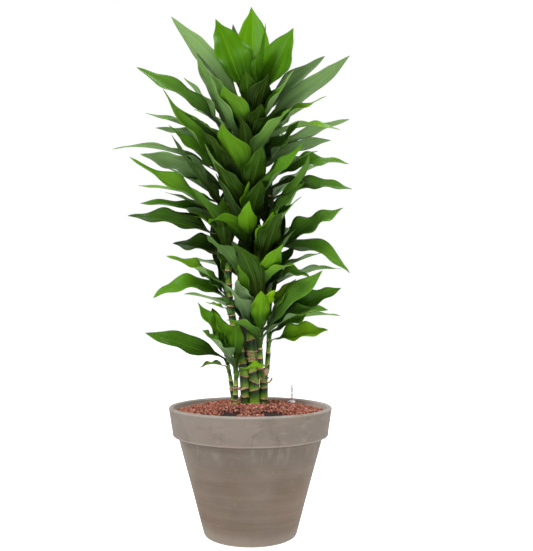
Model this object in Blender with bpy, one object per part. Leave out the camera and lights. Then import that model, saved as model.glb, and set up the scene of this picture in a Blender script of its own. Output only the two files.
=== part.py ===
"""A potted dracaena: six canes in hydroculture, their leaves, and a grey terracotta pot with a water gauge.

Units are centimetres in the tables below and metres in the meshes. +Z is up, -Y is the front,
and the origin is the centre of the pot's underside.
"""

import math
from collections import namedtuple

import bmesh
import bpy
from mathutils import Vector
from mathutils.bvhtree import BVHTree

CM = 0.01
UP = Vector((0, 0, 1))

# Pot, in cm.
POT_HEIGHT = 28.3
RIM_RADIUS = 18.0
COLLAR_HEIGHT = 6.4
COLLAR_FOOT_RADIUS = 17.2
SHOULDER_RADIUS = 16.0
FOOT_RADIUS = 10.3
LIP_WIDTH = 1.15
LIP_ROUNDING = 0.5
FLOOR_THICKNESS = 1.5
INNER_FOOT_RADIUS = 9.1
CLEARANCE = 0.04

# Watertight insert, grow pot and the granules around and in it, in cm.
LINER_TOP = 26.2
LINER_WALL = 0.15
GROW_POT_FOOT = 9.0
GROW_POT_TOP = 28.0
GROW_POT_RADIUS = 9.9
GROW_POT_FOOT_RADIUS = 8.7
GROW_POT_WALL = 0.15
GRANULE_LEVEL = 26.8
GRANULE_CREST = 27.9
MOUND_LEVEL = 28.6
MOUND_EDGE_LEVEL = 28.1
POT_SIDES = 36

# Water gauge, in cm: a float chamber with a clear indicator tube on top.
GAUGE_AT = (9.6, 6.2)
GAUGE_FOOT = 15.0
CHAMBER_RADIUS = 0.95
CHAMBER_WALL = 0.12
SKIRT_HEIGHT = 27.75
NECK_HEIGHT = 28.7
NECK_RADIUS = 0.5
INDICATOR_TOP = 32.4
INDICATOR_RADIUS = 0.36
INDICATOR_WALL = 0.08
FLOAT_TRAVEL = 3.0

# Each cane: its path from the roots up as (x, y, z), and its radius at the foot and at the top, in cm.
CANES = {
    "centre": ([(1.0, -1.0, 17), (1.0, -1.0, 28), (0.7, -1.0, 36), (0.1, -0.9, 44),
                (-0.5, -0.4, 60), (-0.5, 0.0, 80), (0.7, 0.4, 97.5)], 1.05, 0.62),
    "left": ([(-1.15, -0.8, 17), (-1.15, -0.8, 28), (-1.6, -0.7, 36), (-3.2, 0.0, 44),
              (-4.7, 0.4, 52), (-4.9, 0.9, 66), (-4.8, 1.4, 80), (-4.8, 1.6, 92)], 0.98, 0.55),
    "right": ([(3.0, -0.5, 17), (3.0, -0.5, 28), (2.9, -0.5, 36.6)], 0.84, 0.84),
    "inner_shoot": ([(2.75, -0.95, 34.2), (2.3, -2.1, 36.4), (2.15, -2.4, 42), (2.0, -2.8, 52),
                     (2.0, -2.8, 68)], 0.46, 0.4),
    "outer_shoot": ([(3.1, -0.3, 34.2), (3.8, 0.1, 36.6), (4.0, 0.3, 42), (4.3, 0.8, 55),
                     (4.5, 1.2, 68), (4.3, 1.4, 80)], 0.48, 0.4),
    "back": ([(0.8, 2.6, 17), (0.8, 2.6, 28), (1.2, 3.6, 40), (1.0, 4.8, 60), (0.8, 5.0, 94)], 0.98, 0.58),
    "front_sucker": ([(-3.3, -2.3, 19), (-3.3, -2.3, 28), (-3.2, -2.6, 33), (-3.0, -2.9, 40)], 0.5, 0.4),
    "left_sucker": ([(-3.7, 1.6, 19), (-3.7, 1.6, 28), (-4.5, 1.8, 34), (-5.6, 2.0, 41)], 0.42, 0.36),
}
BRANCHED_CANE = "right"
BRANCHES = ("inner_shoot", "outer_shoot")
KNOT_SPACING = 4.0
CANE_SIDES = 6
SHEATH_WALL = 0.16

# Each leaf: the height of its root on the cane, its tip (x, y, z), its width, how far it droops and
# how far its upper face turns to the front. Lengths are in cm and angles in degrees.
LEAVES = {
    "centre": [
        (97.2, (3.5, -3, 111.8), 3.2, 2, 72),
        (96.9, (0.6, 5.5, 119.4), 7.8, 3, 0),
        (96.2, (-7.8, 1.5, 114.8), 8.4, 2, 62),
        (95.0, (9.6, 1, 112.6), 9.0, 2, 60),
        (94.4, (-4.3, 9, 117.0), 5.6, 6, 10),
        (92.4, (-17.7, 3, 115.6), 6.2, 2, -38),
        (91.2, (3.5, -5, 100.4), 5.8, 5, 5),
        (93.8, (-1.0, -5.5, 100.6), 4.2, 2, 0),
        (88.2, (7.4, -4, 102.8), 5.6, -2, 58),
        (87.4, (-6.4, -8, 96.4), 5.8, 4, 0),
        (86.4, (2.6, -9, 92.3), 4.2, 14, 0),
        (85.0, (5.1, -6, 93.4), 4.2, 8, 5),
        (84.6, (-8.9, -5, 100.4), 5.2, -14, 25),
        (81.4, (8.4, -8, 92.2), 6.8, 7, 20),
        (80.0, (-10.4, -8, 89.0), 6.2, 16, 26),
        (78.0, (10.5, -5, 89.8), 6.2, 2, 42),
        (76.8, (-6.7, -11, 87.6), 6.4, 0, 0),
        (73.6, (2.6, -10, 83.5), 5.2, 0, 0),
        (71.4, (-9.5, -7, 84.6), 4.8, -12, 22),
        (72.0, (11.3, -8, 84.2), 6.2, 2, 48),
        (70.4, (-6.6, -9, 80.8), 5.6, -2, 0),
        (69.0, (-1.5, -8, 76.4), 2.6, 8, 40),
        (65.6, (-0.7, -12, 71.6), 4.0, -22, 0),
        (63.4, (-8.6, -12, 67), 5.2, 52, 0),
        (55.0, (-9.6, -8, 65.2), 5.8, 6, 10),
        (46.0, (-5, -7, 54.9), 5.0, 8, 15),
        (46.8, (-3.2, -5, 56), 5.0, 8, 0),
        (51.4, (-1.2, -8, 62.5), 5.0, 10, 0),
        (66.6, (2.4, -8, 77.2), 5.0, 8, 0),
        (58.2, (6.2, -5, 70.2), 3.4, 4, 0),
        (78.4, (-2.0, -7, 90.4), 3.8, 0, 0),
    ],
    "left": [
        (91.2, (-12.2, 3.5, 107.6), 5.6, -9, -30),
        (90.8, (-11.6, -2.5, 104.2), 5.2, 4, 25),
        (89.4, (-24.8, -3, 102.2), 5.8, 9, 46),
        (87.4, (-16.8, 2.5, 100.2), 4.6, 12, -20),
        (86.0, (-23.5, 2, 93.7), 4.4, 12, 22),
        (84.6, (-14.1, -6, 93.4), 4.0, 6, 20),
        (79.8, (-18.6, -3, 97.7), 6.2, -3, 54),
        (83.6, (-21.4, 4, 90.9), 4.6, 16, -15),
        (78.6, (-18, -2, 89.8), 5.8, 4, 46),
        (79.0, (-31.3, 2, 86.0), 4.2, 22, 8),
        (71.2, (-15.1, -7, 88.0), 6.0, -6, 22),
        (75.8, (-10.2, -9.5, 86.0), 4.8, 0, 5),
        (75.8, (-23.8, -4, 83.2), 5.6, 10, -30),
        (73.2, (-19.4, 4.5, 82.2), 4.8, 8, 20),
        (72.6, (-25.2, 3, 77.6), 3.4, 12, 15),
        (69.8, (-26.4, -5, 81.6), 5.4, 3, 44),
        (69.4, (-19.3, 2, 76.2), 3.0, 8, 15),
        (69.4, (-24.6, 0, 73.4), 4.6, 10, 24),
        (65.8, (-11.4, -7, 76.8), 4.4, 0, 8),
        (66.0, (-14.8, 3, 74.0), 5.4, 6, 25),
        (65.4, (-26.4, -5, 69.6), 6.0, 12, 44),
        (62.2, (-7.6, -7, 74.0), 5.0, 4, 0),
        (61.4, (-17.3, 1.5, 64.4), 6.2, 12, 38),
        (57.6, (-7.5, 2, 63), 2.6, 8, 0),
        (54.6, (-18.2, -4, 61.1), 4.6, 10, 24),
        (52.6, (-12.5, 1, 59), 4.2, 8, 24),
        (51.8, (-21.6, 0, 52.2), 5.0, 42, 40),
        (49.6, (-9.9, 0, 51.2), 1.6, 6, 14),
    ],
    "inner_shoot": [
        (66.0, (11.4, -7, 76.6), 5.2, 2, 42),
        (63.4, (10.4, -8, 73.4), 5.2, 3, 38),
        (61.4, (5.0, -11, 69.5), 4.6, -16, 0),
        (56.8, (2.8, -13, 62.8), 4.4, -24, 0),
        (55.4, (9.1, -8, 66.4), 5.2, 4, 36),
        (54.0, (9.3, -11, 58.7), 4.6, 26, 10),
        (52.0, (9.4, -5, 63.8), 5.6, 2, 45),
        (47.4, (4.8, -7, 53.6), 3.4, 12, 0),
        (45.0, (2.4, -8, 53.4), 4.0, 10, 0),
        (44.6, (15.4, -8, 57.6), 6.6, 3, 46),
        (42.4, (-5.3, -9, 47.3), 4.6, 24, 10),
        (43.2, (16.5, -8, 49.4), 5.2, 27, 25),
    ],
    "outer_shoot": [
        (78.6, (15.2, 1, 85.2), 4.2, 14, 18),
        (78.8, (21.9, 0, 82.1), 5.2, 22, 42),
        (76.4, (14.3, -4, 76.2), 3.8, 34, 10),
        (74.0, (22.5, 0, 76.2), 5.0, 25, 42),
        (70.2, (14.5, -5, 83.6), 3.2, -4, 5),
        (66.0, (12.0, -3, 78.4), 5.4, -3, 20),
        (61.8, (20.5, 0, 72.1), 6.6, 6, 40),
        (63.0, (22, 0, 57.7), 5.0, 36, 44),
        (57.4, (17.8, 5, 63), 3.0, 10, 5),
        (56.0, (13.3, 0, 57.3), 4.6, 32, 28),
        (47.8, (9.6, -3, 56.2), 4.4, 4, 50),
        (46.2, (19.8, -3, 54.2), 7.0, 4, 42),
        (44.2, (15.8, 2, 50.6), 5.4, 5, 34),
        (42.6, (17, -3, 45.1), 5.2, 6, 44),
    ],
    "back": [
        (92.6, (17.6, 8, 109.3), 5.6, 4, -36),
        (89.8, (22.4, 3, 106.6), 5.2, 2, -34),
        (88.0, (16.8, 0, 97), 4.4, 8, 34),
        (86.2, (19.6, -3, 88.6), 4.4, 32, 12),
        (83.6, (22.3, 2, 92.8), 4.0, 6, -14),
        (81.2, (17.4, 6, 91.4), 5.0, 12, -32),
    ],
    "front_sucker": [
        (39.5, (-8.0, -2, 49.0), 4.6, 6, 20),
        (39.0, (-2.7, -5.5, 46.8), 3.6, 6, 0),
        (38.4, (-11.3, -4, 51.0), 5.4, -1, 35),
        (36.8, (-9.3, -9.5, 45.8), 6.6, 10, 44),
        (35.9, (3.4, -8, 37.6), 4.0, 6, 14),
    ],
    "left_sucker": [
        (40.2, (-9, 5, 50), 4.6, 10, 0),
        (38.4, (-23.3, 0, 44.4), 5.2, 3, 48),
        (36.6, (-11.4, 1, 36.6), 2.6, 32, 0),
    ],
}

# The hidden side repeats one rule: leaves climb the back cane by a turn of the golden angle.
BACK_LEAVES = 30
BACK_LOWEST = 44.0
BACK_STEP = 1.62
GOLDEN_TURN = 137.5
BACK_SWEEP = 165.0

# Steep inner leaves fill the bush between the canes: for each cane, the lowest and highest root in cm
# and how many leaves grow between them.
INNER = {"centre": (47, 94, 22), "left": (50, 89, 19), "inner_shoot": (46, 66, 10),
         "outer_shoot": (46, 78, 14), "back": (46, 90, 8)}
INNER_LENGTH = 17.0
INNER_RISE = 62.0

LEAVES_PER_SHEATH = 6
LEAF_ROWS = 5
LEAF_CORNERS = 4
LEAF_THICKNESS = 0.2
LEAF_FOLD = math.radians(20)
STEEPEST_START = math.radians(64)
REACH = 0.36
PETIOLE_HALF_WIDTH = 0.42
SPARE = 0.04
FILLER_TRIES = 60

Leaf = namedtuple("Leaf", "cane filler root tip width droop roll")

GREEN = (0.07, 0.22, 0.03)
COLOURS = {
    "terracotta": ((0.33, 0.28, 0.24), 0.85),
    "black_plastic": ((0.02, 0.02, 0.02), 0.5),
    "granules": ((0.33, 0.11, 0.07), 0.9),
    "leaf": (GREEN, 0.4),
    "cane": ((0.12, 0.26, 0.04), 0.45),
    "clear_plastic": ((0.85, 0.87, 0.9), 0.15),
    "grey_plastic": ((0.55, 0.56, 0.6), 0.3),
    "red_plastic": ((0.65, 0.08, 0.04), 0.4),
}


def clear_scene():
    for obj in list(bpy.data.objects):
        bpy.data.objects.remove(obj)


def material(name):
    found = bpy.data.materials.get(name)
    if found:
        return found
    colour, roughness = COLOURS[name]
    made = bpy.data.materials.new(name)
    made.use_nodes = True
    shader = made.node_tree.nodes["Principled BSDF"]
    shader.inputs["Base Color"].default_value = (*colour, 1)
    shader.inputs["Roughness"].default_value = roughness
    shader.inputs["Metallic"].default_value = 0
    return made


def add_object(name, bm, finish, helper=False):
    """Turns a bmesh into an object. A helper only cuts or joins, and isn't a piece."""
    bmesh.ops.recalc_face_normals(bm, faces=bm.faces)
    mesh = bpy.data.meshes.new(name)
    bm.to_mesh(mesh)
    bm.free()
    mesh.materials.append(material(finish))
    obj = bpy.data.objects.new(name, mesh)
    bpy.context.scene.collection.objects.link(obj)
    if helper:
        obj.hide_render = True
        obj.display_type = "WIRE"
    else:
        mesh.shade_smooth()
        mesh.set_sharp_from_angle(angle=math.radians(35))
    return obj


def turned(outline, sides, centre=(0, 0)):
    """A solid turned about a vertical axis from an outline of (radius, height), in cm, bottom to top."""
    bm = bmesh.new()
    points = [bm.verts.new((radius * CM, 0, height * CM)) for radius, height in outline]
    pairs = zip(points, points[1:] + points[:1])
    edges = [bm.edges.new(pair) for pair in pairs if pair[0].co.x or pair[1].co.x]
    bmesh.ops.spin(bm, geom=points + edges, cent=(0, 0, 0), axis=(0, 0, 1), angle=2 * math.pi,
                   steps=sides, use_merge=True)
    bmesh.ops.remove_doubles(bm, verts=bm.verts, dist=1e-6)
    bmesh.ops.translate(bm, verts=bm.verts, vec=(centre[0] * CM, centre[1] * CM, 0))
    return bm


def rolled(around, along, place, ends="capped", split=False):
    """A grid of faces rolled into a tube. place(column, row) gives each corner in cm.

    Splitting every face the same way on both sides keeps a thin, curved shape from crossing itself.
    """
    bm = bmesh.new()
    bmesh.ops.create_grid(bm, x_segments=around, y_segments=along, size=1)
    spots = {vert: (round((vert.co.x + 1) / 2 * around), round((vert.co.y + 1) / 2 * along)) for vert in bm.verts}
    for face in list(bm.faces) if split else ():
        left, _, _, right = sorted(face.verts, key=spots.get)
        low, high = sorted((v for v in face.verts if v not in (left, right)), key=spots.get)
        bmesh.utils.face_split(face, *((left, right) if spots[left][0] % 2 == 0 else (low, high)))
    for vert, (column, row) in spots.items():
        vert.co = place(column % around, row) * CM
    bmesh.ops.remove_doubles(bm, verts=bm.verts, dist=1e-6)
    if ends == "capped":
        bmesh.ops.holes_fill(bm, edges=bm.edges, sides=0)
    return bm


def arc(centre, radius, first, last, steps):
    """Points on an arc in the outline's plane, its angles in degrees."""
    turns = [math.radians(first + (last - first) * i / steps) for i in range(steps + 1)]
    return [(centre[0] + radius * math.cos(a), centre[1] + radius * math.sin(a)) for a in turns]


def inner_radius(height):
    """The pot's inner wall is one straight cone from its floor to its lip."""
    top = RIM_RADIUS - LIP_WIDTH
    share = (height - FLOOR_THICKNESS) / (POT_HEIGHT - FLOOR_THICKNESS)
    return INNER_FOOT_RADIUS + (top - INNER_FOOT_RADIUS) * share


def make_pot():
    collar_foot = POT_HEIGHT - COLLAR_HEIGHT
    lip = LIP_ROUNDING
    outline = [(0, 0), (FOOT_RADIUS - 0.4, 0), (FOOT_RADIUS, 0.4)]
    outline += [(SHOULDER_RADIUS, collar_foot), (COLLAR_FOOT_RADIUS - 0.3, collar_foot + 0.05)]
    outline += [(COLLAR_FOOT_RADIUS, collar_foot + 0.4)]
    outline += arc((RIM_RADIUS - lip, POT_HEIGHT - lip), lip, 0, 90, 3)
    outline += arc((RIM_RADIUS - LIP_WIDTH + lip, POT_HEIGHT - lip), lip, 90, 180, 2)
    outline += [(INNER_FOOT_RADIUS, FLOOR_THICKNESS), (0, FLOOR_THICKNESS)]
    add_object("pot", turned(outline, POT_SIDES), "terracotta")


def make_liner():
    """A black plastic insert keeps the water off the porous clay. It stands just clear of the pot."""
    foot = FLOOR_THICKNESS + CLEARANCE
    outer_foot = inner_radius(foot) - CLEARANCE
    outer_top = inner_radius(LINER_TOP) - CLEARANCE
    outline = [(0, foot), (outer_foot, foot), (outer_top, LINER_TOP), (outer_top - LINER_WALL, LINER_TOP)]
    floor = foot + LINER_WALL
    outline += [(inner_radius(floor) - CLEARANCE - LINER_WALL, floor), (0, floor)]
    add_object("liner", turned(outline, POT_SIDES), "black_plastic")


def make_grow_pot():
    outline = [(0, GROW_POT_FOOT), (GROW_POT_FOOT_RADIUS, GROW_POT_FOOT), (GROW_POT_RADIUS, GROW_POT_TOP)]
    outline += [(GROW_POT_RADIUS - GROW_POT_WALL, GROW_POT_TOP)]
    outline += [(GROW_POT_FOOT_RADIUS - GROW_POT_WALL, GROW_POT_FOOT + GROW_POT_WALL)]
    outline += [(0, GROW_POT_FOOT + GROW_POT_WALL)]
    add_object("grow_pot", turned(outline, POT_SIDES), "black_plastic")


def make_granulate():
    """Clay granules fill the liner round the grow pot, up to just under the pot's lip."""
    foot = FLOOR_THICKNESS + 2 * CLEARANCE + LINER_WALL
    liner_gap = 2 * CLEARANCE + LINER_WALL
    outline = [(0, foot), (inner_radius(foot) - liner_gap, foot)]
    outline += [(inner_radius(GRANULE_LEVEL) - liner_gap, GRANULE_LEVEL)]
    share = (GRANULE_CREST - GROW_POT_FOOT) / (GROW_POT_TOP - GROW_POT_FOOT)
    mouth = GROW_POT_FOOT_RADIUS + (GROW_POT_RADIUS - GROW_POT_FOOT_RADIUS) * share
    outline += [(mouth + CLEARANCE + 0.6, GRANULE_CREST), (mouth + CLEARANCE, GRANULE_CREST)]
    outline += [(GROW_POT_FOOT_RADIUS + CLEARANCE, GROW_POT_FOOT - CLEARANCE)]
    outline += [(0, GROW_POT_FOOT - CLEARANCE)]
    granulate = add_object("granulate", turned(outline, POT_SIDES), "granules")
    socket = [(0, GAUGE_FOOT - CLEARANCE), (CHAMBER_RADIUS + CLEARANCE, GAUGE_FOOT - CLEARANCE)]
    socket += [(CHAMBER_RADIUS + CLEARANCE, GRANULE_LEVEL + 2), (0, GRANULE_LEVEL + 2)]
    cut(granulate, add_object("gauge_socket_cutter", turned(socket, 16, GAUGE_AT), "granules", helper=True))


def make_root_ball():
    """The grow pot's own filling, mounded round the canes, which stand in it."""
    foot = GROW_POT_FOOT + GROW_POT_WALL + CLEARANCE
    wall = GROW_POT_WALL + CLEARANCE
    outline = [(0, foot), (GROW_POT_FOOT_RADIUS - wall, foot), (GROW_POT_RADIUS - wall, GROW_POT_TOP)]
    outline += [(GROW_POT_RADIUS - wall, MOUND_EDGE_LEVEL), (GROW_POT_RADIUS - 2.0, MOUND_LEVEL)]
    outline += [(0, MOUND_LEVEL)]
    root_ball = add_object("root_ball", turned(outline, POT_SIDES), "granules")
    for name, (path, _, _) in CANES.items():
        if path[0][2] < GROW_POT_TOP:
            cutter = cane_solid(name, extra=CLEARANCE, reach=CLEARANCE, top=MOUND_LEVEL + 1)
            cut(root_ball, add_object(name + "_hole_cutter", cutter, "granules", helper=True))


def make_gauge():
    chamber_in = CHAMBER_RADIUS - CHAMBER_WALL
    tube_in = INDICATOR_RADIUS - INDICATOR_WALL
    seat = INDICATOR_RADIUS + CLEARANCE
    housing = [(chamber_in, GAUGE_FOOT), (CHAMBER_RADIUS, GAUGE_FOOT), (CHAMBER_RADIUS, SKIRT_HEIGHT)]
    housing += [(NECK_RADIUS + 0.1, SKIRT_HEIGHT + 0.75), (NECK_RADIUS, NECK_HEIGHT), (seat, NECK_HEIGHT)]
    housing += [(seat, SKIRT_HEIGHT + 0.1), (tube_in, SKIRT_HEIGHT + 0.1), (tube_in, SKIRT_HEIGHT - 0.1)]
    housing += [(chamber_in, SKIRT_HEIGHT - 0.3)]
    add_object("gauge_housing", turned(housing, 16, GAUGE_AT), "grey_plastic")
    foot = SKIRT_HEIGHT + 0.1 + CLEARANCE
    crown = INDICATOR_TOP - 0.12
    tube = [(tube_in, foot), (INDICATOR_RADIUS, foot), (INDICATOR_RADIUS, crown), (0.2, INDICATOR_TOP)]
    tube += [(0, INDICATOR_TOP), (0, crown - 0.1), (tube_in, crown - 0.1)]
    add_object("gauge_tube", turned(tube, 16, GAUGE_AT), "clear_plastic")
    tip = crown - 0.1 - FLOAT_TRAVEL - 0.15
    rod, buoy = 0.12, chamber_in - 0.1
    bob = [(0, GAUGE_FOOT + 0.1), (buoy, GAUGE_FOOT + 0.3), (buoy, GAUGE_FOOT + 4.0)]
    bob += [(rod, GAUGE_FOOT + 4.4), (rod, tip - 0.45), (0.2, tip - 0.4), (0.2, tip - 0.05), (0, tip)]
    add_object("gauge_float", turned(bob, 12, GAUGE_AT), "red_plastic")


def cut(obj, cutter, operation="DIFFERENCE"):
    modifier = obj.modifiers.new(cutter.name, "BOOLEAN")
    modifier.operation = operation
    modifier.object = cutter
    modifier.solver = "EXACT"


def smooth_axis(path, z):
    """The cane's centre at height z: a smooth curve through the points of its path."""
    points = [Vector(p) for p in path]
    points = [2 * points[0] - points[1], *points, 2 * points[-1] - points[-2]]
    i = 1
    while i < len(points) - 3 and z > points[i + 1].z:
        i += 1
    before, a, b, after = points[i - 1:i + 3]
    span = b.z - a.z
    t = (z - a.z) / span
    slope_a = (b - before) / (b.z - before.z) * span
    slope_b = (after - a) / (after.z - a.z) * span
    square, cube = t * t, t * t * t
    point = (2 * cube - 3 * square + 1) * a + (cube - 2 * square + t) * slope_a
    point += (3 * square - 2 * cube) * b + (cube - square) * slope_b
    return Vector((point.x, point.y, z))


def knots(path, low, high):
    """Heights at which a cane may bend: its ends, and each whole knot spacing between them."""
    first = math.floor(low / KNOT_SPACING) + 1
    inner = [k * KNOT_SPACING for k in range(first, math.ceil(high / KNOT_SPACING))]
    return [low] + [z for z in inner if low + 0.2 < z < high - 0.2] + [high]


def axis(name, z):
    """The cane's centre at height z: straight between its knots."""
    path = CANES[name][0]
    first, last = path[0][2], path[-1][2]
    below = math.floor(min(max(z, first), last - 0.2) / KNOT_SPACING) * KNOT_SPACING
    low, high = max(first, below), min(last, below + KNOT_SPACING)
    return smooth_axis(path, low).lerp(smooth_axis(path, high), (z - low) / (high - low))


def cane_radius(name, z):
    path, foot, top = CANES[name]
    share = min(1, max(0, (z - path[0][2]) / (path[-1][2] - path[0][2])))
    return foot + (top - foot) * share


def ring_point(name, z, radius, column):
    side = 2 * math.pi / CANE_SIDES
    turn = side * (column + 0.5)
    return axis(name, z) + radius / math.cos(side / 2) * Vector((math.cos(turn), math.sin(turn), 0))


def cane_solid(name, extra=0, reach=0, top=None):
    path = CANES[name][0]
    heights = knots(path, path[0][2] - reach, top or path[-1][2])

    def place(column, row):
        z = heights[row]
        return ring_point(name, z, cane_radius(name, z) + extra, column)

    return rolled(CANE_SIDES, len(heights) - 1, place)


def make_canes():
    """Each cane grew as one piece. The right one was cut back, and two shoots grew from its top."""
    for name in CANES:
        if name not in BRANCHES:
            add_object(name + "_cane", cane_solid(name), "cane")
    trunk = bpy.data.objects[BRANCHED_CANE + "_cane"]
    for name in BRANCHES:
        cut(trunk, add_object(name + "_joint", cane_solid(name), "cane", helper=True), "UNION")


def sheath_solid(name, low, high):
    """The clasping leaf bases: a thin sleeve round the cane between two heights."""
    heights = knots(CANES[name][0], low, high)
    loop = [(z, SHEATH_WALL + CLEARANCE) for z in heights] + [(z, CLEARANCE) for z in reversed(heights)]

    def place(column, row):
        z, extra = loop[row % len(loop)]
        return ring_point(name, z, cane_radius(name, z) + extra, column)

    return rolled(CANE_SIDES, len(loop), place, ends="open")


def back_leaves():
    """Leaves of the hidden side, climbing the back cane and turning by the golden angle."""
    for i in range(BACK_LEAVES):
        height = BACK_LOWEST + BACK_STEP * i
        swing = (GOLDEN_TURN * i) % BACK_SWEEP + (180 - BACK_SWEEP) / 2
        share = i / BACK_LEAVES
        length = 23 - 5 * abs(share - 0.5) + 1.5 * math.sin(2.1 * i)
        rise = 12 + 42 * share + 8 * math.sin(1.7 * i)
        direction = Vector((math.cos(math.radians(swing)), math.sin(math.radians(swing)), 0))
        tip = axis("back", height) + length * math.cos(math.radians(rise)) * direction
        tip.z += length * math.sin(math.radians(rise))
        yield height, tuple(tip), 4.6 + 0.5 * math.sin(i), 20 - 8 * share, 0


def inner_leaves(name):
    """Steep leaves along one cane, each a golden turn from the last."""
    low, high, count = INNER.get(name, (0, 0, 0))
    for i in range(count):
        height = low + (high - low) * (i + 0.5) / count
        swing = math.radians(GOLDEN_TURN * i + 7 * low)
        rise = math.radians(INNER_RISE + 9 * math.sin(2.3 * i))
        length = INNER_LENGTH + 1.5 * math.sin(1.9 * i)
        tip = axis(name, height) + length * math.cos(rise) * Vector((math.cos(swing), math.sin(swing), 0))
        tip.z += length * math.sin(rise)
        yield height, tuple(tip), 5.2, 12, 0


def all_leaves():
    """Every leaf by cane, from the top down, in sheaths of a few neighbours."""
    for cane, rows in LEAVES.items():
        rows = [(False, *row) for row in rows]
        if cane == "back":
            rows += [(True, *row) for row in back_leaves()]
        rows += [(True, *row) for row in inner_leaves(cane)]
        rows.sort(key=lambda row: -row[1])
        count = math.ceil(len(rows) / LEAVES_PER_SHEATH)
        for group in range(count):
            first = round(group * len(rows) / count)
            last = round((group + 1) * len(rows) / count)
            leaves = [Leaf(cane, r[0], r[1], Vector(r[2]), *r[3:]) for r in rows[first:last]]
            above = rows[first - 1][1] if first else None
            yield f"{cane}_leaves_{group + 1}", leaves, above


def blade_width(t):
    """Share of the full width at t along the leaf: a narrow stalk, a long oval and a drawn-out tip."""
    return max(0.0, math.sin(math.pi * t ** 1.08)) ** 0.85


def variations():
    """Small changes to a leaf, the smallest first: its swing sideways, lift and roll in degrees, and its size."""
    swings = (0, 4, -4, 8, -8, 13, -13, 19, -19)
    lifts = (0, 4, -4, 8, -8, 13)
    found = [(a, b, c, size) for a in swings for b in lifts for c in (0, 16, -16) for size in (1, 0.88)]
    found.sort(key=lambda v: abs(v[0]) + 1.1 * abs(v[1]) + 0.3 * abs(v[2]) + 90 * (1 - v[3]))
    return found


def turned_leaf(leaf, turn):
    """The leaf with its tip swung sideways and lifted about its root, and its face rolled."""
    sideways, lift, roll, size = turn
    foot = axis(leaf.cane, leaf.root)
    reach = leaf.tip - foot
    flat = Vector((reach.x, reach.y, 0))
    heading = math.atan2(flat.y, flat.x) + math.radians(sideways)
    rise = min(math.radians(86), math.atan2(reach.z, flat.length) + math.radians(lift))
    outward = Vector((math.cos(heading), math.sin(heading), 0))
    tip = foot + size * reach.length * (outward * math.cos(rise) + UP * math.sin(rise))
    return leaf._replace(tip=tip, width=leaf.width * size, roll=leaf.roll + roll)


def skin(name, z, outward):
    """How far from the cane's centre the middle of its six-sided sheath lies, looking outward."""
    side = 2 * math.pi / CANE_SIDES
    turn = (math.atan2(outward.y, outward.x) + side / 2) % side - side / 2
    return (cane_radius(name, z) + CLEARANCE + 0.5 * SHEATH_WALL) / math.cos(turn)


def leaf_section(leaf, t):
    """Centre, sideways and upper directions, and half width of a leaf at t along its midrib."""
    foot = axis(leaf.cane, leaf.root)
    outward = Vector((leaf.tip.x - foot.x, leaf.tip.y - foot.y, 0)).normalized()
    root = foot + outward * skin(leaf.cane, leaf.root, outward)
    chord = leaf.tip - root
    rise = math.asin(chord.z / chord.length)
    start = min(rise + math.radians(leaf.droop), STEEPEST_START)
    finish = rise - math.radians(leaf.droop)
    reach = REACH * chord.length
    a = root + reach * (outward * math.cos(start) + UP * math.sin(start))
    b = leaf.tip - reach * (outward * math.cos(finish) + UP * math.sin(finish))
    s = 1 - t
    centre = s ** 3 * root + 3 * s * s * t * a + 3 * s * t * t * b + t ** 3 * leaf.tip
    along = (s * s * (a - root) + 2 * s * t * (b - a) + t * t * (leaf.tip - b)).normalized()
    upper = UP * along.dot(outward) - outward * along.dot(UP)
    across = Vector((outward.y, -outward.x, 0))
    if across.y > 0:
        across.negate()
    ease = min(1.0, t / 0.35)
    roll = math.radians(leaf.roll) * ease * ease * (3 - 2 * ease)
    sideways = across * math.cos(roll) - upper * math.sin(roll)
    facing = upper * math.cos(roll) + across * math.sin(roll)
    half = leaf.width / 2 * blade_width(t) + PETIOLE_HALF_WIDTH * (1 - t) ** 3
    return centre, sideways, facing, half


def leaf_solid(leaf, spare=0.0, first_row=0):
    """A folded blade, thick at its midrib and thin at its margins, its root in the sheath."""

    def place(column, row):
        t = (row + first_row) / LEAF_ROWS
        centre, sideways, facing, half = leaf_section(leaf, t)
        half = max(half, 0.08) + spare
        thick = LEAF_THICKNESS * (0.55 + 0.45 * math.sin(math.pi * t)) / 2 + spare
        if column % 2:
            return centre + facing * (thick if column == 1 else -thick)
        side = 1 if column == 0 else -1
        fold = LEAF_FOLD * min(1, t / 0.35)
        return centre + half * (sideways * side * math.cos(fold) + facing * math.sin(fold))

    return rolled(LEAF_CORNERS, LEAF_ROWS - first_row, place, split=True)


def tree_of(bm):
    bmesh.ops.triangulate(bm, faces=bm.faces)
    tree = BVHTree.FromBMesh(bm)
    bm.free()
    return tree


def evaluated_tree(obj):
    return BVHTree.FromObject(obj, bpy.context.evaluated_depsgraph_get())


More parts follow.
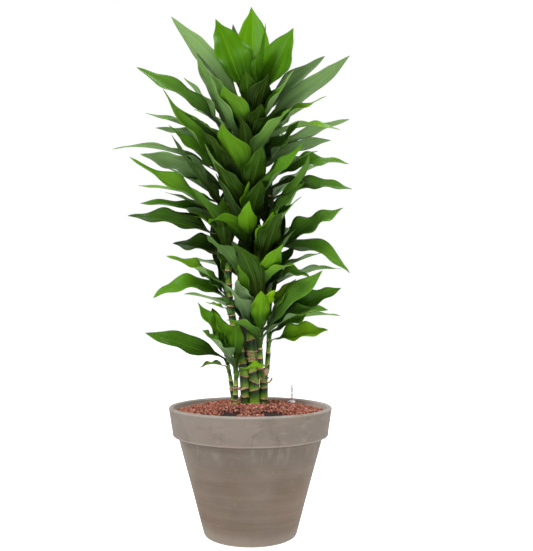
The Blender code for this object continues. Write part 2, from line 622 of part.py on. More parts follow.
def make_leaves():
    """Places each leaf, turned a little where it would touch what already stands, and joins it to its sheath.

    Leaves that share a sheath meet only at their roots, so they leave no closed pocket between them.
    """
    bpy.context.view_layer.update()
    standing = [evaluated_tree(obj) for obj in bpy.context.scene.objects if not obj.hide_render]
    plans = {name: leaves for name, leaves, _ in all_leaves()}
    spans = {}
    for name, leaves, above in all_leaves():
        cane = leaves[0].cane
        top = CANES[cane][0][-1][2] if above is None else above - 0.2 - CLEARANCE
        spans[name] = (cane, leaves[-1].root - 0.2, top)
    sleeves = {name: tree_of(sheath_solid(*span)) for name, span in spans.items()}
    whole = {name: [] for name in plans}
    upper = {name: [] for name in plans}
    order = [(name, k) for name, leaves in plans.items() for k in range(len(leaves))]
    order.sort(key=lambda entry: plans[entry[0]][entry[1]].filler)
    for name, k in order:
        wanted = plans[name][k]
        others = standing + [tree for owner, tree in sleeves.items() if owner != name]
        others += [tree for owner, trees in whole.items() if owner != name for tree in trees]
        own = [sleeves[name], *upper[name]]
        for turn in variations()[:FILLER_TRIES if wanted.filler else None]:
            leaf = turned_leaf(wanted, turn)
            blade = tree_of(leaf_solid(leaf, SPARE, first_row=1))
            if any(blade.overlap(tree) for tree in own) or any(blade.overlap(tree) for tree in others):
                continue
            body = tree_of(leaf_solid(leaf, SPARE))
            if any(body.overlap(tree) for tree in others):
                continue
            break
        else:
            continue
        whole[name].append(body)
        upper[name].append(blade)
        sheath = bpy.data.objects.get(name) or add_object(name, sheath_solid(*spans[name]), "leaf")
        blade = add_object(f"{name}_blade_{k + 1}", leaf_solid(leaf), "leaf", helper=True)
        cut(sheath, blade, "UNION")


clear_scene()
make_pot()
make_liner()
make_grow_pot()
make_granulate()
make_root_ball()
make_gauge()
make_canes()
make_leaves()
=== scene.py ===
"""Looks of the potted dracaena: fine leaves, ringed canes, clay granules, the grey pot and the water gauge.

Tables are in centimetres and degrees, meshes in metres. +Z is up and -Y is the front.
"""

import math
import random
from collections import namedtuple

import bmesh
import bpy
from mathutils import Euler, Matrix, Vector, noise
from mathutils.kdtree import KDTree


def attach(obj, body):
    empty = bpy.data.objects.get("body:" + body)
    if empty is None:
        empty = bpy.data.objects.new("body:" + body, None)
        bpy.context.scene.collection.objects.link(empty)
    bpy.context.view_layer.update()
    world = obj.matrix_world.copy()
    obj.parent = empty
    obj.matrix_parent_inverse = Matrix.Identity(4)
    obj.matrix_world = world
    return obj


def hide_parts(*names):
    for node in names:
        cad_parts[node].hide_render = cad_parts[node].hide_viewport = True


CM = 0.01
UP = Vector((0, 0, 1))
PLANTER = "planter"
FLOAT = "float"

# Each cane, as the CAD has it: its path from the roots up as (x, y, z), and its radius at foot and top.
CANES = {
    "centre": ([(1.0, -1.0, 17), (1.0, -1.0, 28), (0.7, -1.0, 36), (0.1, -0.9, 44),
                (-0.5, -0.4, 60), (-0.5, 0.0, 80), (0.7, 0.4, 97.5)], 1.05, 0.62),
    "left": ([(-1.15, -0.8, 17), (-1.15, -0.8, 28), (-1.6, -0.7, 36), (-3.2, 0.0, 44),
              (-4.7, 0.4, 52), (-4.9, 0.9, 66), (-4.8, 1.4, 80), (-4.8, 1.6, 92)], 0.98, 0.55),
    "right": ([(3.0, -0.5, 17), (3.0, -0.5, 28), (2.9, -0.5, 36.6)], 0.84, 0.84),
    "inner_shoot": ([(2.75, -0.95, 34.2), (2.3, -2.1, 36.4), (2.15, -2.4, 42), (2.0, -2.8, 52),
                     (2.0, -2.8, 68)], 0.46, 0.4),
    "outer_shoot": ([(3.1, -0.3, 34.2), (3.8, 0.1, 36.6), (4.0, 0.3, 42), (4.3, 0.8, 55),
                     (4.5, 1.2, 68), (4.3, 1.4, 80)], 0.48, 0.4),
    "back": ([(0.8, 2.6, 17), (0.8, 2.6, 28), (1.2, 3.6, 40), (1.0, 4.8, 60), (0.8, 5.0, 94)], 0.98, 0.58),
    "front_sucker": ([(-3.3, -2.3, 19), (-3.3, -2.3, 28), (-3.2, -2.6, 33), (-3.0, -2.9, 40)], 0.5, 0.4),
    "left_sucker": ([(-3.7, 1.6, 19), (-3.7, 1.6, 28), (-4.5, 1.8, 34), (-5.6, 2.0, 41)], 0.42, 0.36),
}

# Each leaf, as the CAD has it: the height of its root, its tip, its width, how far it droops and how far
# its face turns to the front. The last number is the tone: 0 for old dark leaves and for leaves in painted
# shade deep in the bush, 1 for young bright ones.
LEAVES = {
    "centre": [
        (97.2, (3.5, -3, 111.8), 3.2, 2, 72, 0.64), (96.9, (0.6, 5.5, 119.4), 7.8, 3, 0, 0.89),
        (96.2, (-7.8, 1.5, 114.8), 8.4, 2, 62, 0.74), (95.0, (9.6, 1, 112.6), 9.0, 2, 60, 0.74),
        (94.4, (-4.3, 9, 117.0), 5.6, 6, 10, 0.39), (92.4, (-17.7, 3, 115.6), 6.2, 2, -38, 0.57),
        (91.2, (3.5, -5, 100.4), 5.8, 5, 5, 0.03), (93.8, (-1.0, -5.5, 100.6), 4.2, 2, 0, 0.49),
        (88.2, (7.4, -4, 102.8), 5.6, -2, 58, 0.59), (87.4, (-6.4, -8, 96.4), 5.8, 4, 0, 0.63),
        (86.4, (2.6, -9, 92.3), 4.2, 14, 0, 0.08), (85.0, (5.1, -6, 93.4), 4.2, 8, 5, 0.1),
        (84.6, (-8.9, -5, 100.4), 5.2, -14, 25, 0.54), (81.4, (8.4, -8, 92.2), 6.8, 7, 20, 0.62),
        (80.0, (-10.4, -8, 89.0), 6.2, 16, 26, 0.43), (78.0, (10.5, -5, 89.8), 6.2, 2, 42, 0.13),
        (76.8, (-6.7, -11, 87.6), 6.4, 0, 0, 0.6), (73.6, (2.6, -10, 83.5), 5.2, 0, 0, 0.23),
        (71.4, (-9.5, -7, 84.6), 4.8, -12, 22, 0.58), (72.0, (11.3, -8, 84.2), 6.2, 2, 48, 0.53),
        (70.4, (-6.6, -9, 80.8), 5.6, -2, 0, 0.13), (69.0, (-1.5, -8, 76.4), 2.6, 8, 40, 0.63),
        (65.6, (-0.7, -12, 71.6), 4.0, -22, 0, 0.7), (63.4, (-8.6, -12, 67), 5.2, 52, 0, 0.55),
        (55.0, (-9.6, -8, 65.2), 5.8, 6, 10, 0.3), (46.0, (-5, -7, 54.9), 5.0, 8, 15, 0.8),
        (46.8, (-3.2, -5, 56), 5.0, 8, 0, 0.85), (51.4, (-1.2, -8, 62.5), 5.0, 10, 0, 0.45),
        (66.6, (2.4, -8, 77.2), 5.0, 8, 0, 0.18), (58.2, (6.2, -5, 70.2), 3.4, 4, 0, 0.3),
        (78.4, (-2.0, -7, 90.4), 3.8, 0, 0, 0.08),
    ],
    "left": [
        (91.2, (-12.2, 3.5, 107.6), 5.6, -9, -30, 0.47), (90.8, (-11.6, -2.5, 104.2), 5.2, 4, 25, 0.53),
        (89.4, (-24.8, -3, 102.2), 5.8, 9, 46, 0.77), (87.4, (-16.8, 2.5, 100.2), 4.6, 12, -20, 0.62),
        (86.0, (-23.5, 2, 93.7), 4.4, 12, 22, 0.47), (84.6, (-14.1, -6, 93.4), 4.0, 6, 20, 0.15),
        (79.8, (-18.6, -3, 97.7), 6.2, -3, 54, 0.62), (83.6, (-21.4, 4, 90.9), 4.6, 16, -15, 0.47),
        (78.6, (-18, -2, 89.8), 5.8, 4, 46, 0.57), (79.0, (-31.3, 2, 86.0), 4.2, 22, 8, 0.57),
        (71.2, (-15.1, -7, 88.0), 6.0, -6, 22, 0.05), (75.8, (-10.2, -9.5, 86.0), 4.8, 0, 5, 0.08),
        (75.8, (-23.8, -4, 83.2), 5.6, 10, -30, 0.42), (73.2, (-19.4, 4.5, 82.2), 4.8, 8, 20, 0.37),
        (72.6, (-25.2, 3, 77.6), 3.4, 12, 15, 0.67), (69.8, (-26.4, -5, 81.6), 5.4, 3, 44, 0.62),
        (69.4, (-19.3, 2, 76.2), 3.0, 8, 15, 0.62), (69.4, (-24.6, 0, 73.4), 4.6, 10, 24, 0.42),
        (65.8, (-11.4, -7, 76.8), 4.4, 0, 8, 0.43), (66.0, (-14.8, 3, 74.0), 5.4, 6, 25, 0.72),
        (65.4, (-26.4, -5, 69.6), 6.0, 12, 44, 0.17), (62.2, (-7.6, -7, 74.0), 5.0, 4, 0, 0.3),
        (61.4, (-17.3, 1.5, 64.4), 6.2, 12, 38, 0.17), (57.6, (-7.5, 2, 63), 2.6, 8, 0, 0.7),
        (54.6, (-18.2, -4, 61.1), 4.6, 10, 24, 0.72), (52.6, (-12.5, 1, 59), 4.2, 8, 24, 0.52),
        (51.8, (-21.6, 0, 52.2), 5.0, 42, 40, 0.42), (49.6, (-9.9, 0, 51.2), 1.6, 6, 14, 0.6),
    ],
    "inner_shoot": [
        (66.0, (11.4, -7, 76.6), 5.2, 2, 42, 0.23), (63.4, (10.4, -8, 73.4), 5.2, 3, 38, 0.55),
        (61.4, (5.0, -11, 69.5), 4.6, -16, 0, 0.65), (56.8, (2.8, -13, 62.8), 4.4, -24, 0, 0.66),
        (55.4, (9.1, -8, 66.4), 5.2, 4, 36, 0.17), (54.0, (9.3, -11, 58.7), 4.6, 26, 10, 0.7),
        (52.0, (9.4, -5, 63.8), 5.6, 2, 45, 0.17), (47.4, (4.8, -7, 53.6), 3.4, 12, 0, 0.75),
        (45.0, (2.4, -8, 53.4), 4.0, 10, 0, 0.56), (44.6, (15.4, -8, 57.6), 6.6, 3, 46, 0.84),
        (42.4, (-5.3, -9, 47.3), 4.6, 24, 10, 0.4), (43.2, (16.5, -8, 49.4), 5.2, 27, 25, 0.77),
    ],
    "outer_shoot": [
        (78.6, (15.2, 1, 85.2), 4.2, 14, 18, 0.57), (78.8, (21.9, 0, 82.1), 5.2, 22, 42, 0.52),
        (76.4, (14.3, -4, 76.2), 3.8, 34, 10, 0.15), (74.0, (22.5, 0, 76.2), 5.0, 25, 42, 0.37),
        (70.2, (14.5, -5, 83.6), 3.2, -4, 5, 0.42), (66.0, (12.0, -3, 78.4), 5.4, -3, 20, 0.55),
        (61.8, (20.5, 0, 72.1), 6.6, 6, 40, 0.84), (63.0, (22, 0, 57.7), 5.0, 36, 44, 0.44),
        (57.4, (17.8, 5, 63), 3.0, 10, 5, 0.82), (56.0, (13.3, 0, 57.3), 4.6, 32, 28, 0.57),
        (47.8, (9.6, -3, 56.2), 4.4, 4, 50, 0.74), (46.2, (19.8, -3, 54.2), 7.0, 4, 42, 0.17),
        (44.2, (15.8, 2, 50.6), 5.4, 5, 34, 0.47), (42.6, (17, -3, 45.1), 5.2, 6, 44, 0.72),
    ],
    "back": [
        (92.6, (17.6, 8, 109.3), 5.6, 4, -36, 0.42), (89.8, (22.4, 3, 106.6), 5.2, 2, -34, 0.47),
        (88.0, (16.8, 0, 97), 4.4, 8, 34, 0.72), (86.2, (19.6, -3, 88.6), 4.4, 32, 12, 0.72),
        (83.6, (22.3, 2, 92.8), 4.0, 6, -14, 0.52), (81.2, (17.4, 6, 91.4), 5.0, 12, -32, 0.42),
    ],
    "front_sucker": [
        (39.5, (-8.0, -2, 49.0), 4.6, 6, 20, 0.45), (39.0, (-2.7, -5.5, 46.8), 3.6, 6, 0, 0.35),
        (38.4, (-11.3, -4, 51.0), 5.4, -1, 35, 0.4), (36.8, (-9.3, -9.5, 45.8), 6.6, 10, 44, 0.78),
        (35.9, (3.4, -8, 37.6), 4.0, 6, 14, 0.74),
    ],
    "left_sucker": [
        (40.2, (-9, 5, 50), 4.6, 10, 0, 0.45), (38.4, (-23.3, 0, 44.4), 5.2, 3, 48, 0.2),
        (36.6, (-11.4, 1, 36.6), 2.6, 32, 0, 0.6),
    ],
}

# The hidden side repeats one rule: leaves climb the back cane by a turn of the golden angle.
BACK_LEAVES = 30
BACK_LOWEST = 44.0
BACK_STEP = 1.62
GOLDEN_TURN = 137.5
BACK_SWEEP = 165.0

# Steep inner leaves fill the bush between the canes: for each cane, the lowest and highest root in cm
# and how many leaves grow between them.
INNER = {"centre": (47, 94, 22), "left": (50, 89, 19), "inner_shoot": (46, 66, 10),
         "outer_shoot": (46, 78, 14), "back": (46, 90, 8)}
INNER_LENGTH = 17.0
INNER_RISE = 62.0
LEAVES_PER_SHEATH = 6
LEAF_ROWS = 5
LEAF_FOLD = math.radians(20)
STEEPEST_START = math.radians(64)
REACH = 0.36
PETIOLE_HALF_WIDTH = 0.42
KNOT_SPACING = 4.0
CANE_SIDES = 6
SHEATH_WALL = 0.16
CLEARANCE = 0.04

# How near a corner of the CAD's mesh, in metres, has to be to one that a leaf would have, and which corners
# are looked for, by row and side.
SAME_PLACE = 0.0004
PROBES = ((5, 1), (3, 1), (3, -1))

# Leaf blades: the crown's are calmer, the lowest are livelier, and the brightest are bleached.
ACROSS = 10
ALONG = 28
BLADE_THICKNESS = 0.07
CLASP_END = 0.16
CALM_FROM = 93.0
LOW_BELOW = 52.0
BLEACHED_FROM = 0.75

# Loose granules: their size and spacing, how far out and how high they lie, the share that is left out, and
# the directions in which the bed is sunk. They keep clear of the gauge and of the canes at soil level.
GRANULE_RADIUS = 0.27
GRANULE_SPACING = 0.53
GRANULE_REACH = 16.3
GRANULE_TOP = 28.68
BARE_SPOTS = 0.03
DIPS = (248, 293)
SOIL_LEVEL = 28.4
GAUGE_AT = (9.6, 6.2)
GAUGE_ROOM = 1.12

# A cane that starts below this height is rooted, and its lowest part is buried.
ROOTED_BELOW = 28
BURIED = 8
THIN_PIECE_THICKNESS = 0.06

Leaf = namedtuple("Leaf", "cane filler root tip width droop roll tone")


# --- Growth: the same rules as the CAD ---


def heading(turn):
    """The level direction at an angle from +X."""
    return Vector((math.cos(turn), math.sin(turn), 0))


def smooth_axis(path, z):
    """The cane's centre at height z: a smooth curve through the points of its path."""
    points = [Vector(p) for p in path]
    points = [2 * points[0] - points[1], *points, 2 * points[-1] - points[-2]]
    i = 1
    while i < len(points) - 3 and z > points[i + 1].z:
        i += 1
    before, a, b, after = points[i - 1:i + 3]
    span = b.z - a.z
    t = (z - a.z) / span
    slope_a = (b - before) / (b.z - before.z) * span
    slope_b = (after - a) / (after.z - a.z) * span
    square, cube = t * t, t * t * t
    point = (2 * cube - 3 * square + 1) * a + (cube - 2 * square + t) * slope_a
    point += (3 * square - 2 * cube) * b + (cube - square) * slope_b
    return Vector((point.x, point.y, z))


def axis(name, z):
    """The cane's centre at height z: straight between its knots."""
    path = CANES[name][0]
    first, last = path[0][2], path[-1][2]
    below = math.floor(min(max(z, first), last - 0.2) / KNOT_SPACING) * KNOT_SPACING
    low, high = max(first, below), min(last, below + KNOT_SPACING)
    return smooth_axis(path, low).lerp(smooth_axis(path, high), (z - low) / (high - low))


def cane_radius(name, z):
    path, foot, top = CANES[name]
    share = min(1, max(0, (z - path[0][2]) / (path[-1][2] - path[0][2])))
    return foot + (top - foot) * share


def skin(name, z, outward):
    """How far from the cane's centre the middle of its six-sided sheath lies, looking outward."""
    side = 2 * math.pi / CANE_SIDES
    turn = (math.atan2(outward.y, outward.x) + side / 2) % side - side / 2
    return (cane_radius(name, z) + CLEARANCE + 0.5 * SHEATH_WALL) / math.cos(turn)


def back_leaves():
    """Leaves of the hidden side, climbing the back cane and turning by the golden angle."""
    for i in range(BACK_LEAVES):
        height = BACK_LOWEST + BACK_STEP * i
        swing = (GOLDEN_TURN * i) % BACK_SWEEP + (180 - BACK_SWEEP) / 2
        share = i / BACK_LEAVES
        length = 23 - 5 * abs(share - 0.5) + 1.5 * math.sin(2.1 * i)
        rise = 12 + 42 * share + 8 * math.sin(1.7 * i)
        tip = axis("back", height) + length * math.cos(math.radians(rise)) * heading(math.radians(swing))
        tip.z += length * math.sin(math.radians(rise))
        yield height, tuple(tip), 4.6 + 0.5 * math.sin(i), 20 - 8 * share, 0, 0.35 + 0.3 * share


def inner_leaves(name):
    """Steep leaves along one cane, each a golden turn from the last."""
    low, high, count = INNER.get(name, (0, 0, 0))
    for i in range(count):
        height = low + (high - low) * (i + 0.5) / count
        swing = math.radians(GOLDEN_TURN * i + 7 * low)
        rise = math.radians(INNER_RISE + 9 * math.sin(2.3 * i))
        length = INNER_LENGTH + 1.5 * math.sin(1.9 * i)
        tip = axis(name, height) + length * math.cos(rise) * heading(swing)
        tip.z += length * math.sin(rise)
        yield height, tuple(tip), 5.2, 12, 0, 0.3 + 0.25 * math.sin(3.1 * i) + 0.25 * (height > 80)


def all_leaves():
    """Every leaf by cane, from the top down, in the CAD's groups of a few neighbours."""
    for cane, rows in LEAVES.items():
        rows = [(False, *row) for row in rows]
        if cane == "back":
            rows += [(True, *row) for row in back_leaves()]
        rows += [(True, *row) for row in inner_leaves(cane)]
        rows.sort(key=lambda row: -row[1])
        count = math.ceil(len(rows) / LEAVES_PER_SHEATH)
        for group in range(count):
            first = round(group * len(rows) / count)
            last = round((group + 1) * len(rows) / count)
            leaves = [Leaf(cane, r[0], r[1], Vector(r[2]), *r[3:]) for r in rows[first:last]]
            yield f"{cane}_leaves_{group + 1}", leaves


def blade_width(t):
    """Share of the full width at t along the leaf: a narrow stalk, a long oval and a drawn-out tip."""
    return max(0.0, math.sin(math.pi * t ** 1.08)) ** 0.85


def variations():
    """The turns and sizes that the CAD may have given a leaf to keep it clear of the others."""
    swings = (0, 4, -4, 8, -8, 13, -13, 19, -19)
    lifts = (0, 4, -4, 8, -8, 13)
    found = [(a, b, c, size) for a in swings for b in lifts for c in (0, 16, -16) for size in (1, 0.88)]
    found.sort(key=lambda v: abs(v[0]) + 1.1 * abs(v[1]) + 0.3 * abs(v[2]) + 90 * (1 - v[3]))
    return found


def turned_leaf(leaf, turn):
    """The leaf with its tip swung sideways and lifted about its root, and its face rolled."""
    sideways, lift, roll, size = turn
    foot = axis(leaf.cane, leaf.root)
    reach = leaf.tip - foot
    flat = Vector((reach.x, reach.y, 0))
    rise = min(math.radians(86), math.atan2(reach.z, flat.length) + math.radians(lift))
    outward = heading(math.atan2(flat.y, flat.x) + math.radians(sideways))
    tip = foot + size * reach.length * (outward * math.cos(rise) + UP * math.sin(rise))
    return leaf._replace(tip=tip, width=leaf.width * size, roll=leaf.roll + roll)


def bearings(leaf):
    """The point of the cane's axis that a leaf springs from, and the level directions out and across."""
    foot = axis(leaf.cane, leaf.root)
    outward = Vector((leaf.tip.x - foot.x, leaf.tip.y - foot.y, 0)).normalized()
    across = Vector((outward.y, -outward.x, 0))
    if across.y > 0:
        across.negate()
    return foot, outward, across


def leaf_section(leaf, t):
    """Centre, sideways and upper directions, and half width of a leaf at t along its midrib."""
    foot, outward, across = bearings(leaf)
    root = foot + outward * skin(leaf.cane, leaf.root, outward)
    chord = leaf.tip - root
    rise = math.asin(chord.z / chord.length)
    start = min(rise + math.radians(leaf.droop), STEEPEST_START)
    finish = rise - math.radians(leaf.droop)
    reach = REACH * chord.length
    a = root + reach * (outward * math.cos(start) + UP * math.sin(start))
    b = leaf.tip - reach * (outward * math.cos(finish) + UP * math.sin(finish))
    s = 1 - t
    centre = s ** 3 * root + 3 * s * s * t * a + 3 * s * t * t * b + t ** 3 * leaf.tip
    along = (s * s * (a - root) + 2 * s * t * (b - a) + t * t * (leaf.tip - b)).normalized()
    upper = UP * along.dot(outward) - outward * along.dot(UP)
    ease = min(1.0, t / 0.35)
    roll = math.radians(leaf.roll) * ease * ease * (3 - 2 * ease)
    sideways = across * math.cos(roll) - upper * math.sin(roll)
    facing = upper * math.cos(roll) + across * math.sin(roll)
    half = leaf.width / 2 * blade_width(t) + PETIOLE_HALF_WIDTH * (1 - t) ** 3
    return centre, sideways, facing, half


def corner_of_solid(leaf, row, side):
    """A margin corner of the CAD's plain blade."""
    t = row / LEAF_ROWS
    centre, sideways, facing, half = leaf_section(leaf, t)
    half = max(half, 0.08)
    fold = LEAF_FOLD * min(1, t / 0.35)
    return centre + half * (sideways * side * math.cos(fold) + facing * math.sin(fold))


def as_grown(leaf, corners):
    """The leaf as the CAD placed it, found by its corners, or None where there was no room for it."""
    for turn in variations():
        tried = turned_leaf(leaf, turn)
        probes = (corner_of_solid(tried, row, side) * CM for row, side in PROBES)
        if all(corners.find(probe)[2] < SAME_PLACE for probe in probes):
            return tried
    return None


def corners_of(node):
    tree = KDTree(len(node.data.vertices))
    for i, vert in enumerate(node.data.vertices):
        tree.insert(vert.co, i)
    tree.balance()
    return tree


# --- Materials ---


class Finish:
    """A few lines of shader wiring on one Principled material."""

    def __init__(self, name, roughness=0.5):
        self.material = bpy.data.materials.new(name)
        self.material.use_nodes = True
        self.tree = self.material.node_tree
        self.shader = self.tree.nodes["Principled BSDF"]
        self.set("Roughness", roughness)

    def set(self, name, value):
        self.shader.inputs[name].default_value = value

    def node(self, kind, *inputs, **settings):
        """A new node with its settings, and its inputs fed from pairs of a socket and a value."""
        made = self.tree.nodes.new("ShaderNode" + kind)
        for key, value in settings.items():
            setattr(made, key, value)
        for socket, value in inputs:
            self.feed(value, made.inputs[socket])
        return made

    def feed(self, value, socket):
        """Sets a socket to a number or a colour, or links it to where its value comes from."""
        if isinstance(value, (int, float)):
            socket.default_value = value
        elif isinstance(value, tuple):
            socket.default_value = (*value, 1)
        else:
            self.tree.links.new(value, socket)

    def stretched(self, spot, stretch):
        mapping = self.node("Mapping", ("Vector", spot))
        mapping.inputs["Scale"].default_value = stretch
        return mapping.outputs["Vector"]

    def object_space(self, stretch=(1, 1, 1)):
        return self.stretched(self.node("TexCoord").outputs["Object"], stretch)

    def uv_space(self, stretch=(1, 1, 1)):
        return self.stretched(self.node("UVMap", uv_map="blade").outputs["UV"], stretch)

    def attribute(self, name):
        return self.node("Attribute", attribute_name=name).outputs["Fac"]

    def noise(self, where, scale, detail=3, roughness=0.55, distortion=0.0):
        made = self.node("TexNoise", ("Vector", where), ("Scale", scale), ("Detail", detail),
                         ("Roughness", roughness), ("Distortion", distortion))
        return made.outputs["Fac"]

    def grain(self, scale, detail, stretch=(1, 1, 1), **more):
        """Noise in the piece's own space."""
        return self.noise(self.object_space(stretch), scale, detail, **more)

    def math(self, operation, a, b=0.0, clamp=False):
        return self.node("Math", (0, a), (1, b), operation=operation, use_clamp=clamp).outputs[0]

    def plus(self, a, b, clamp=False):
        return self.math("ADD", a, b, clamp)

    def minus(self, a, b, clamp=False):
        return self.math("SUBTRACT", a, b, clamp)

    def times(self, a, b):
        return self.math("MULTIPLY", a, b)

    def between(self, value, low, high, start=0.0, end=1.0):
        """Eases from start to end while the value goes from low to high."""
        made = self.node("MapRange", ("Value", value), ("From Min", low), ("From Max", high),
                         ("To Min", start), ("To Max", end), clamp=True, interpolation_type="SMOOTHSTEP")
        return made.outputs["Result"]

    def mix(self, share, a, b):
        return self.node("Mix", ("Factor", share), (6, a), (7, b), data_type="RGBA").outputs[2]

    def over(self, base, colour, share, *masks):
        """The base with a colour laid over it: its share, kept to where all the masks are."""
        for mask in masks:
            share = self.times(share, mask)
        return self.mix(share, base, colour)

    def ramp(self, value, *stops):
        """Colours along a value. Each stop is its place, then red, green and blue."""
        made = self.node("ValToRGB", ("Fac", value))
        elements = made.color_ramp.elements
        while len(elements) < len(stops):
            elements.new(0.5)
        for element, (place, *colour) in zip(elements, stops):
            element.position = place
            element.color = (*colour, 1)
        return made.outputs["Color"]

    def split(self, vector):
        return self.node("SeparateXYZ", (0, vector)).outputs

    def colour(self, source):
        self.feed(source, self.shader.inputs["Base Color"])

    def roughness(self, source):
        self.feed(source, self.shader.inputs["Roughness"])

    def bump(self, height, strength, distance):
        made = self.node("Bump", ("Height", height), ("Strength", strength), ("Distance", distance))
        self.feed(made.outputs["Normal"], self.shader.inputs["Normal"])


def leaf_finish(name, face, mottling, banding, greens, greys, silver_and_sheen_share, vein, rib):
    """One side of a leaf: deep green when old, yellow-green when young, with painted shade towards its base.

    face is 1 for the upper side, where the midrib is a groove, and -1 for the underside. The ramps greens
    and greys are mixed by the silver_and_sheen attribute: silver on the bleached leaves, and painted sheen on
    leaves seen edge-on. vein is two noise levels, a share, a blend and a colour.
    rib is how far from the midrib its pale line ends, a share and a colour.
    """
    f = Finish(name, 0.5)
    parts = f.split(f.uv_space())
    from_rib = f.math("ABSOLUTE", f.minus(parts[0], 0.5))
    veins = f.noise(f.uv_space((46, 1.6, 1)), 1.0, detail=2, roughness=0.6)
    bands = f.noise(f.uv_space((7, 0.8, 1)), 1.0, detail=1)
    mottle = f.grain(14, 3)
    lively = f.plus(f.attribute("tone"), f.times(f.minus(mottle, 0.5), mottling))
    lively = f.plus(lively, f.times(f.minus(bands, 0.5), banding))
    # Painted shade: the blade darkens towards its base, deep in the bush.
    lively = f.minus(lively, f.between(parts[1], 0.6, 0.1, 0.0, 0.38), clamp=True)
    grey = f.ramp(lively, *greys)
    # The greys carry painted sheen on blades seen edge-on, and silver on the bleached ones.
    body = f.over(f.ramp(lively, *greens), grey, f.attribute("silver_and_sheen"), silver_and_sheen_share)
    low, high, share, blend, colour = vein
    lined = f.mix(f.between(veins, low, high, 0.0, share), body, f.mix(blend, body, colour))
    edge, share, colour = rib
    f.colour(f.mix(f.between(from_rib, 0.006, edge, share, 0.0), lined, f.mix(0.4, body, colour)))
    if face > 0:
        f.roughness(f.between(mottle, 0.3, 0.75, 0.32, 0.46))
    groove = f.times(f.between(from_rib, 0.0, 0.03), face)
    strength, distance = (0.35, 0.0012) if face > 0 else (0.3, 0.001)
    f.bump(f.plus(f.times(veins, 0.6), groove), strength, distance)
    f.set("Specular IOR Level", 0.05)
    return f.material


def leaf_top_finish():
    greens = ((0.0, 0.002, 0.008, 0.001), (0.2, 0.007, 0.030, 0.001), (0.45, 0.026, 0.096, 0.002),
              (0.7, 0.066, 0.205, 0.002), (1.0, 0.18, 0.38, 0.004))
    greys = ((0.0, 0.020, 0.040, 0.015), (0.4, 0.075, 0.135, 0.050), (1.0, 0.20, 0.34, 0.09))
    vein = (0.42, 0.66, 0.5, 0.4, (0.17, 0.33, 0.008))
    rib = (0.022, 0.55, (0.26, 0.40, 0.04))
    return leaf_finish("leaf_top", 1, 0.3, 0.25, greens, greys, 0.35, vein, rib)


def leaf_under_finish():
    """The underside is a little paler than the face, with a painted grey sheen on the leaves that lean out
    sideways.
    """
    greens = ((0.0, 0.003, 0.010, 0.001), (0.25, 0.010, 0.038, 0.002), (0.5, 0.036, 0.112, 0.004),
              (0.75, 0.080, 0.205, 0.004), (1.0, 0.18, 0.37, 0.005))
    greys = ((0.0, 0.016, 0.034, 0.014), (0.25, 0.050, 0.092, 0.040), (0.5, 0.125, 0.190, 0.100),
             (0.75, 0.21, 0.30, 0.16), (1.0, 0.26, 0.41, 0.12))
    vein = (0.4, 0.68, 0.45, 0.45, (0.19, 0.32, 0.03))
    rib = (0.02, 0.5, (0.22, 0.36, 0.05))
    return leaf_finish("leaf_under", -1, 0, 0.3, greens, greys, 1, vein, rib)


def cane_finish():
    """Yellow-green just above each ring, dark green under the next, tan at the ring itself, and painted shade
    up in the foliage.
    """
    f = Finish("cane_skin", 0.42)
    stage, scar = f.attribute("stage"), f.attribute("scar")
    blotch = f.grain(60, 3, (1, 1, 0.5))
    grain = f.grain(420, 2, (1, 1, 0.12))
    place = f.plus(stage, f.times(f.minus(blotch, 0.5), 0.55), clamp=True)
    green = f.ramp(place, (0.0, 0.23, 0.36, 0.030), (0.3, 0.14, 0.27, 0.016), (0.5, 0.045, 0.125, 0.010),
                   (0.72, 0.010, 0.038, 0.006), (1.0, 0.003, 0.012, 0.003))
    green = f.over(green, (0.16, 0.27, 0.04), f.between(grain, 0.4, 0.8, 0.0, 0.18))
    height = f.split(f.object_space())[2]
    # Painted shade: the canes darken from 43 to 50 cm up, where they run into the foliage.
    green = f.over(green, (0.010, 0.030, 0.006), f.between(height, 0.43, 0.50), 0.4)
    bark = f.ramp(f.grain(130, 3, (1, 1, 2)), (0.25, 0.20, 0.09, 0.05),
                  (0.5, 0.48, 0.27, 0.17), (0.8, 0.66, 0.44, 0.30))
    f.colour(f.mix(f.between(scar, 0.3, 0.62), green, bark))
    f.roughness(f.between(scar, 0.2, 0.6, 0.4, 0.85))
    f.set("Specular IOR Level", 0.3)
    f.bump(f.plus(f.times(grain, 0.4), f.times(blotch, 0.4)), 0.35, 0.0012)
    return f.material


# Finishes that are one noise: roughness, how the noise is stretched, its scale and detail, the strength and
# distance of its bump, and its colours.
DRY_HUSK = (0.85, (1, 1, 0.3), 260, 4, 0.6, 0.001, (0.25, 0.13, 0.055, 0.03), (0.45, 0.42, 0.22, 0.13),
            (0.62, 0.62, 0.40, 0.27), (0.85, 0.76, 0.58, 0.43))
# Painted shadow: the near-black strips between the canes.
SHADOW_STRIPS = (0.8, (1, 1, 0.15), 300, 3, 0.5, 0.001, (0.35, 0.004, 0.006, 0.003),
              (0.6, 0.016, 0.020, 0.008), (0.85, 0.07, 0.04, 0.02))
DORMANT_BUD = (0.3, (1, 1, 1), 90, 3, 0.3, 0.001, (0.3, 0.006, 0.03, 0.012), (0.6, 0.02, 0.08, 0.02),
               (0.85, 0.10, 0.16, 0.04))
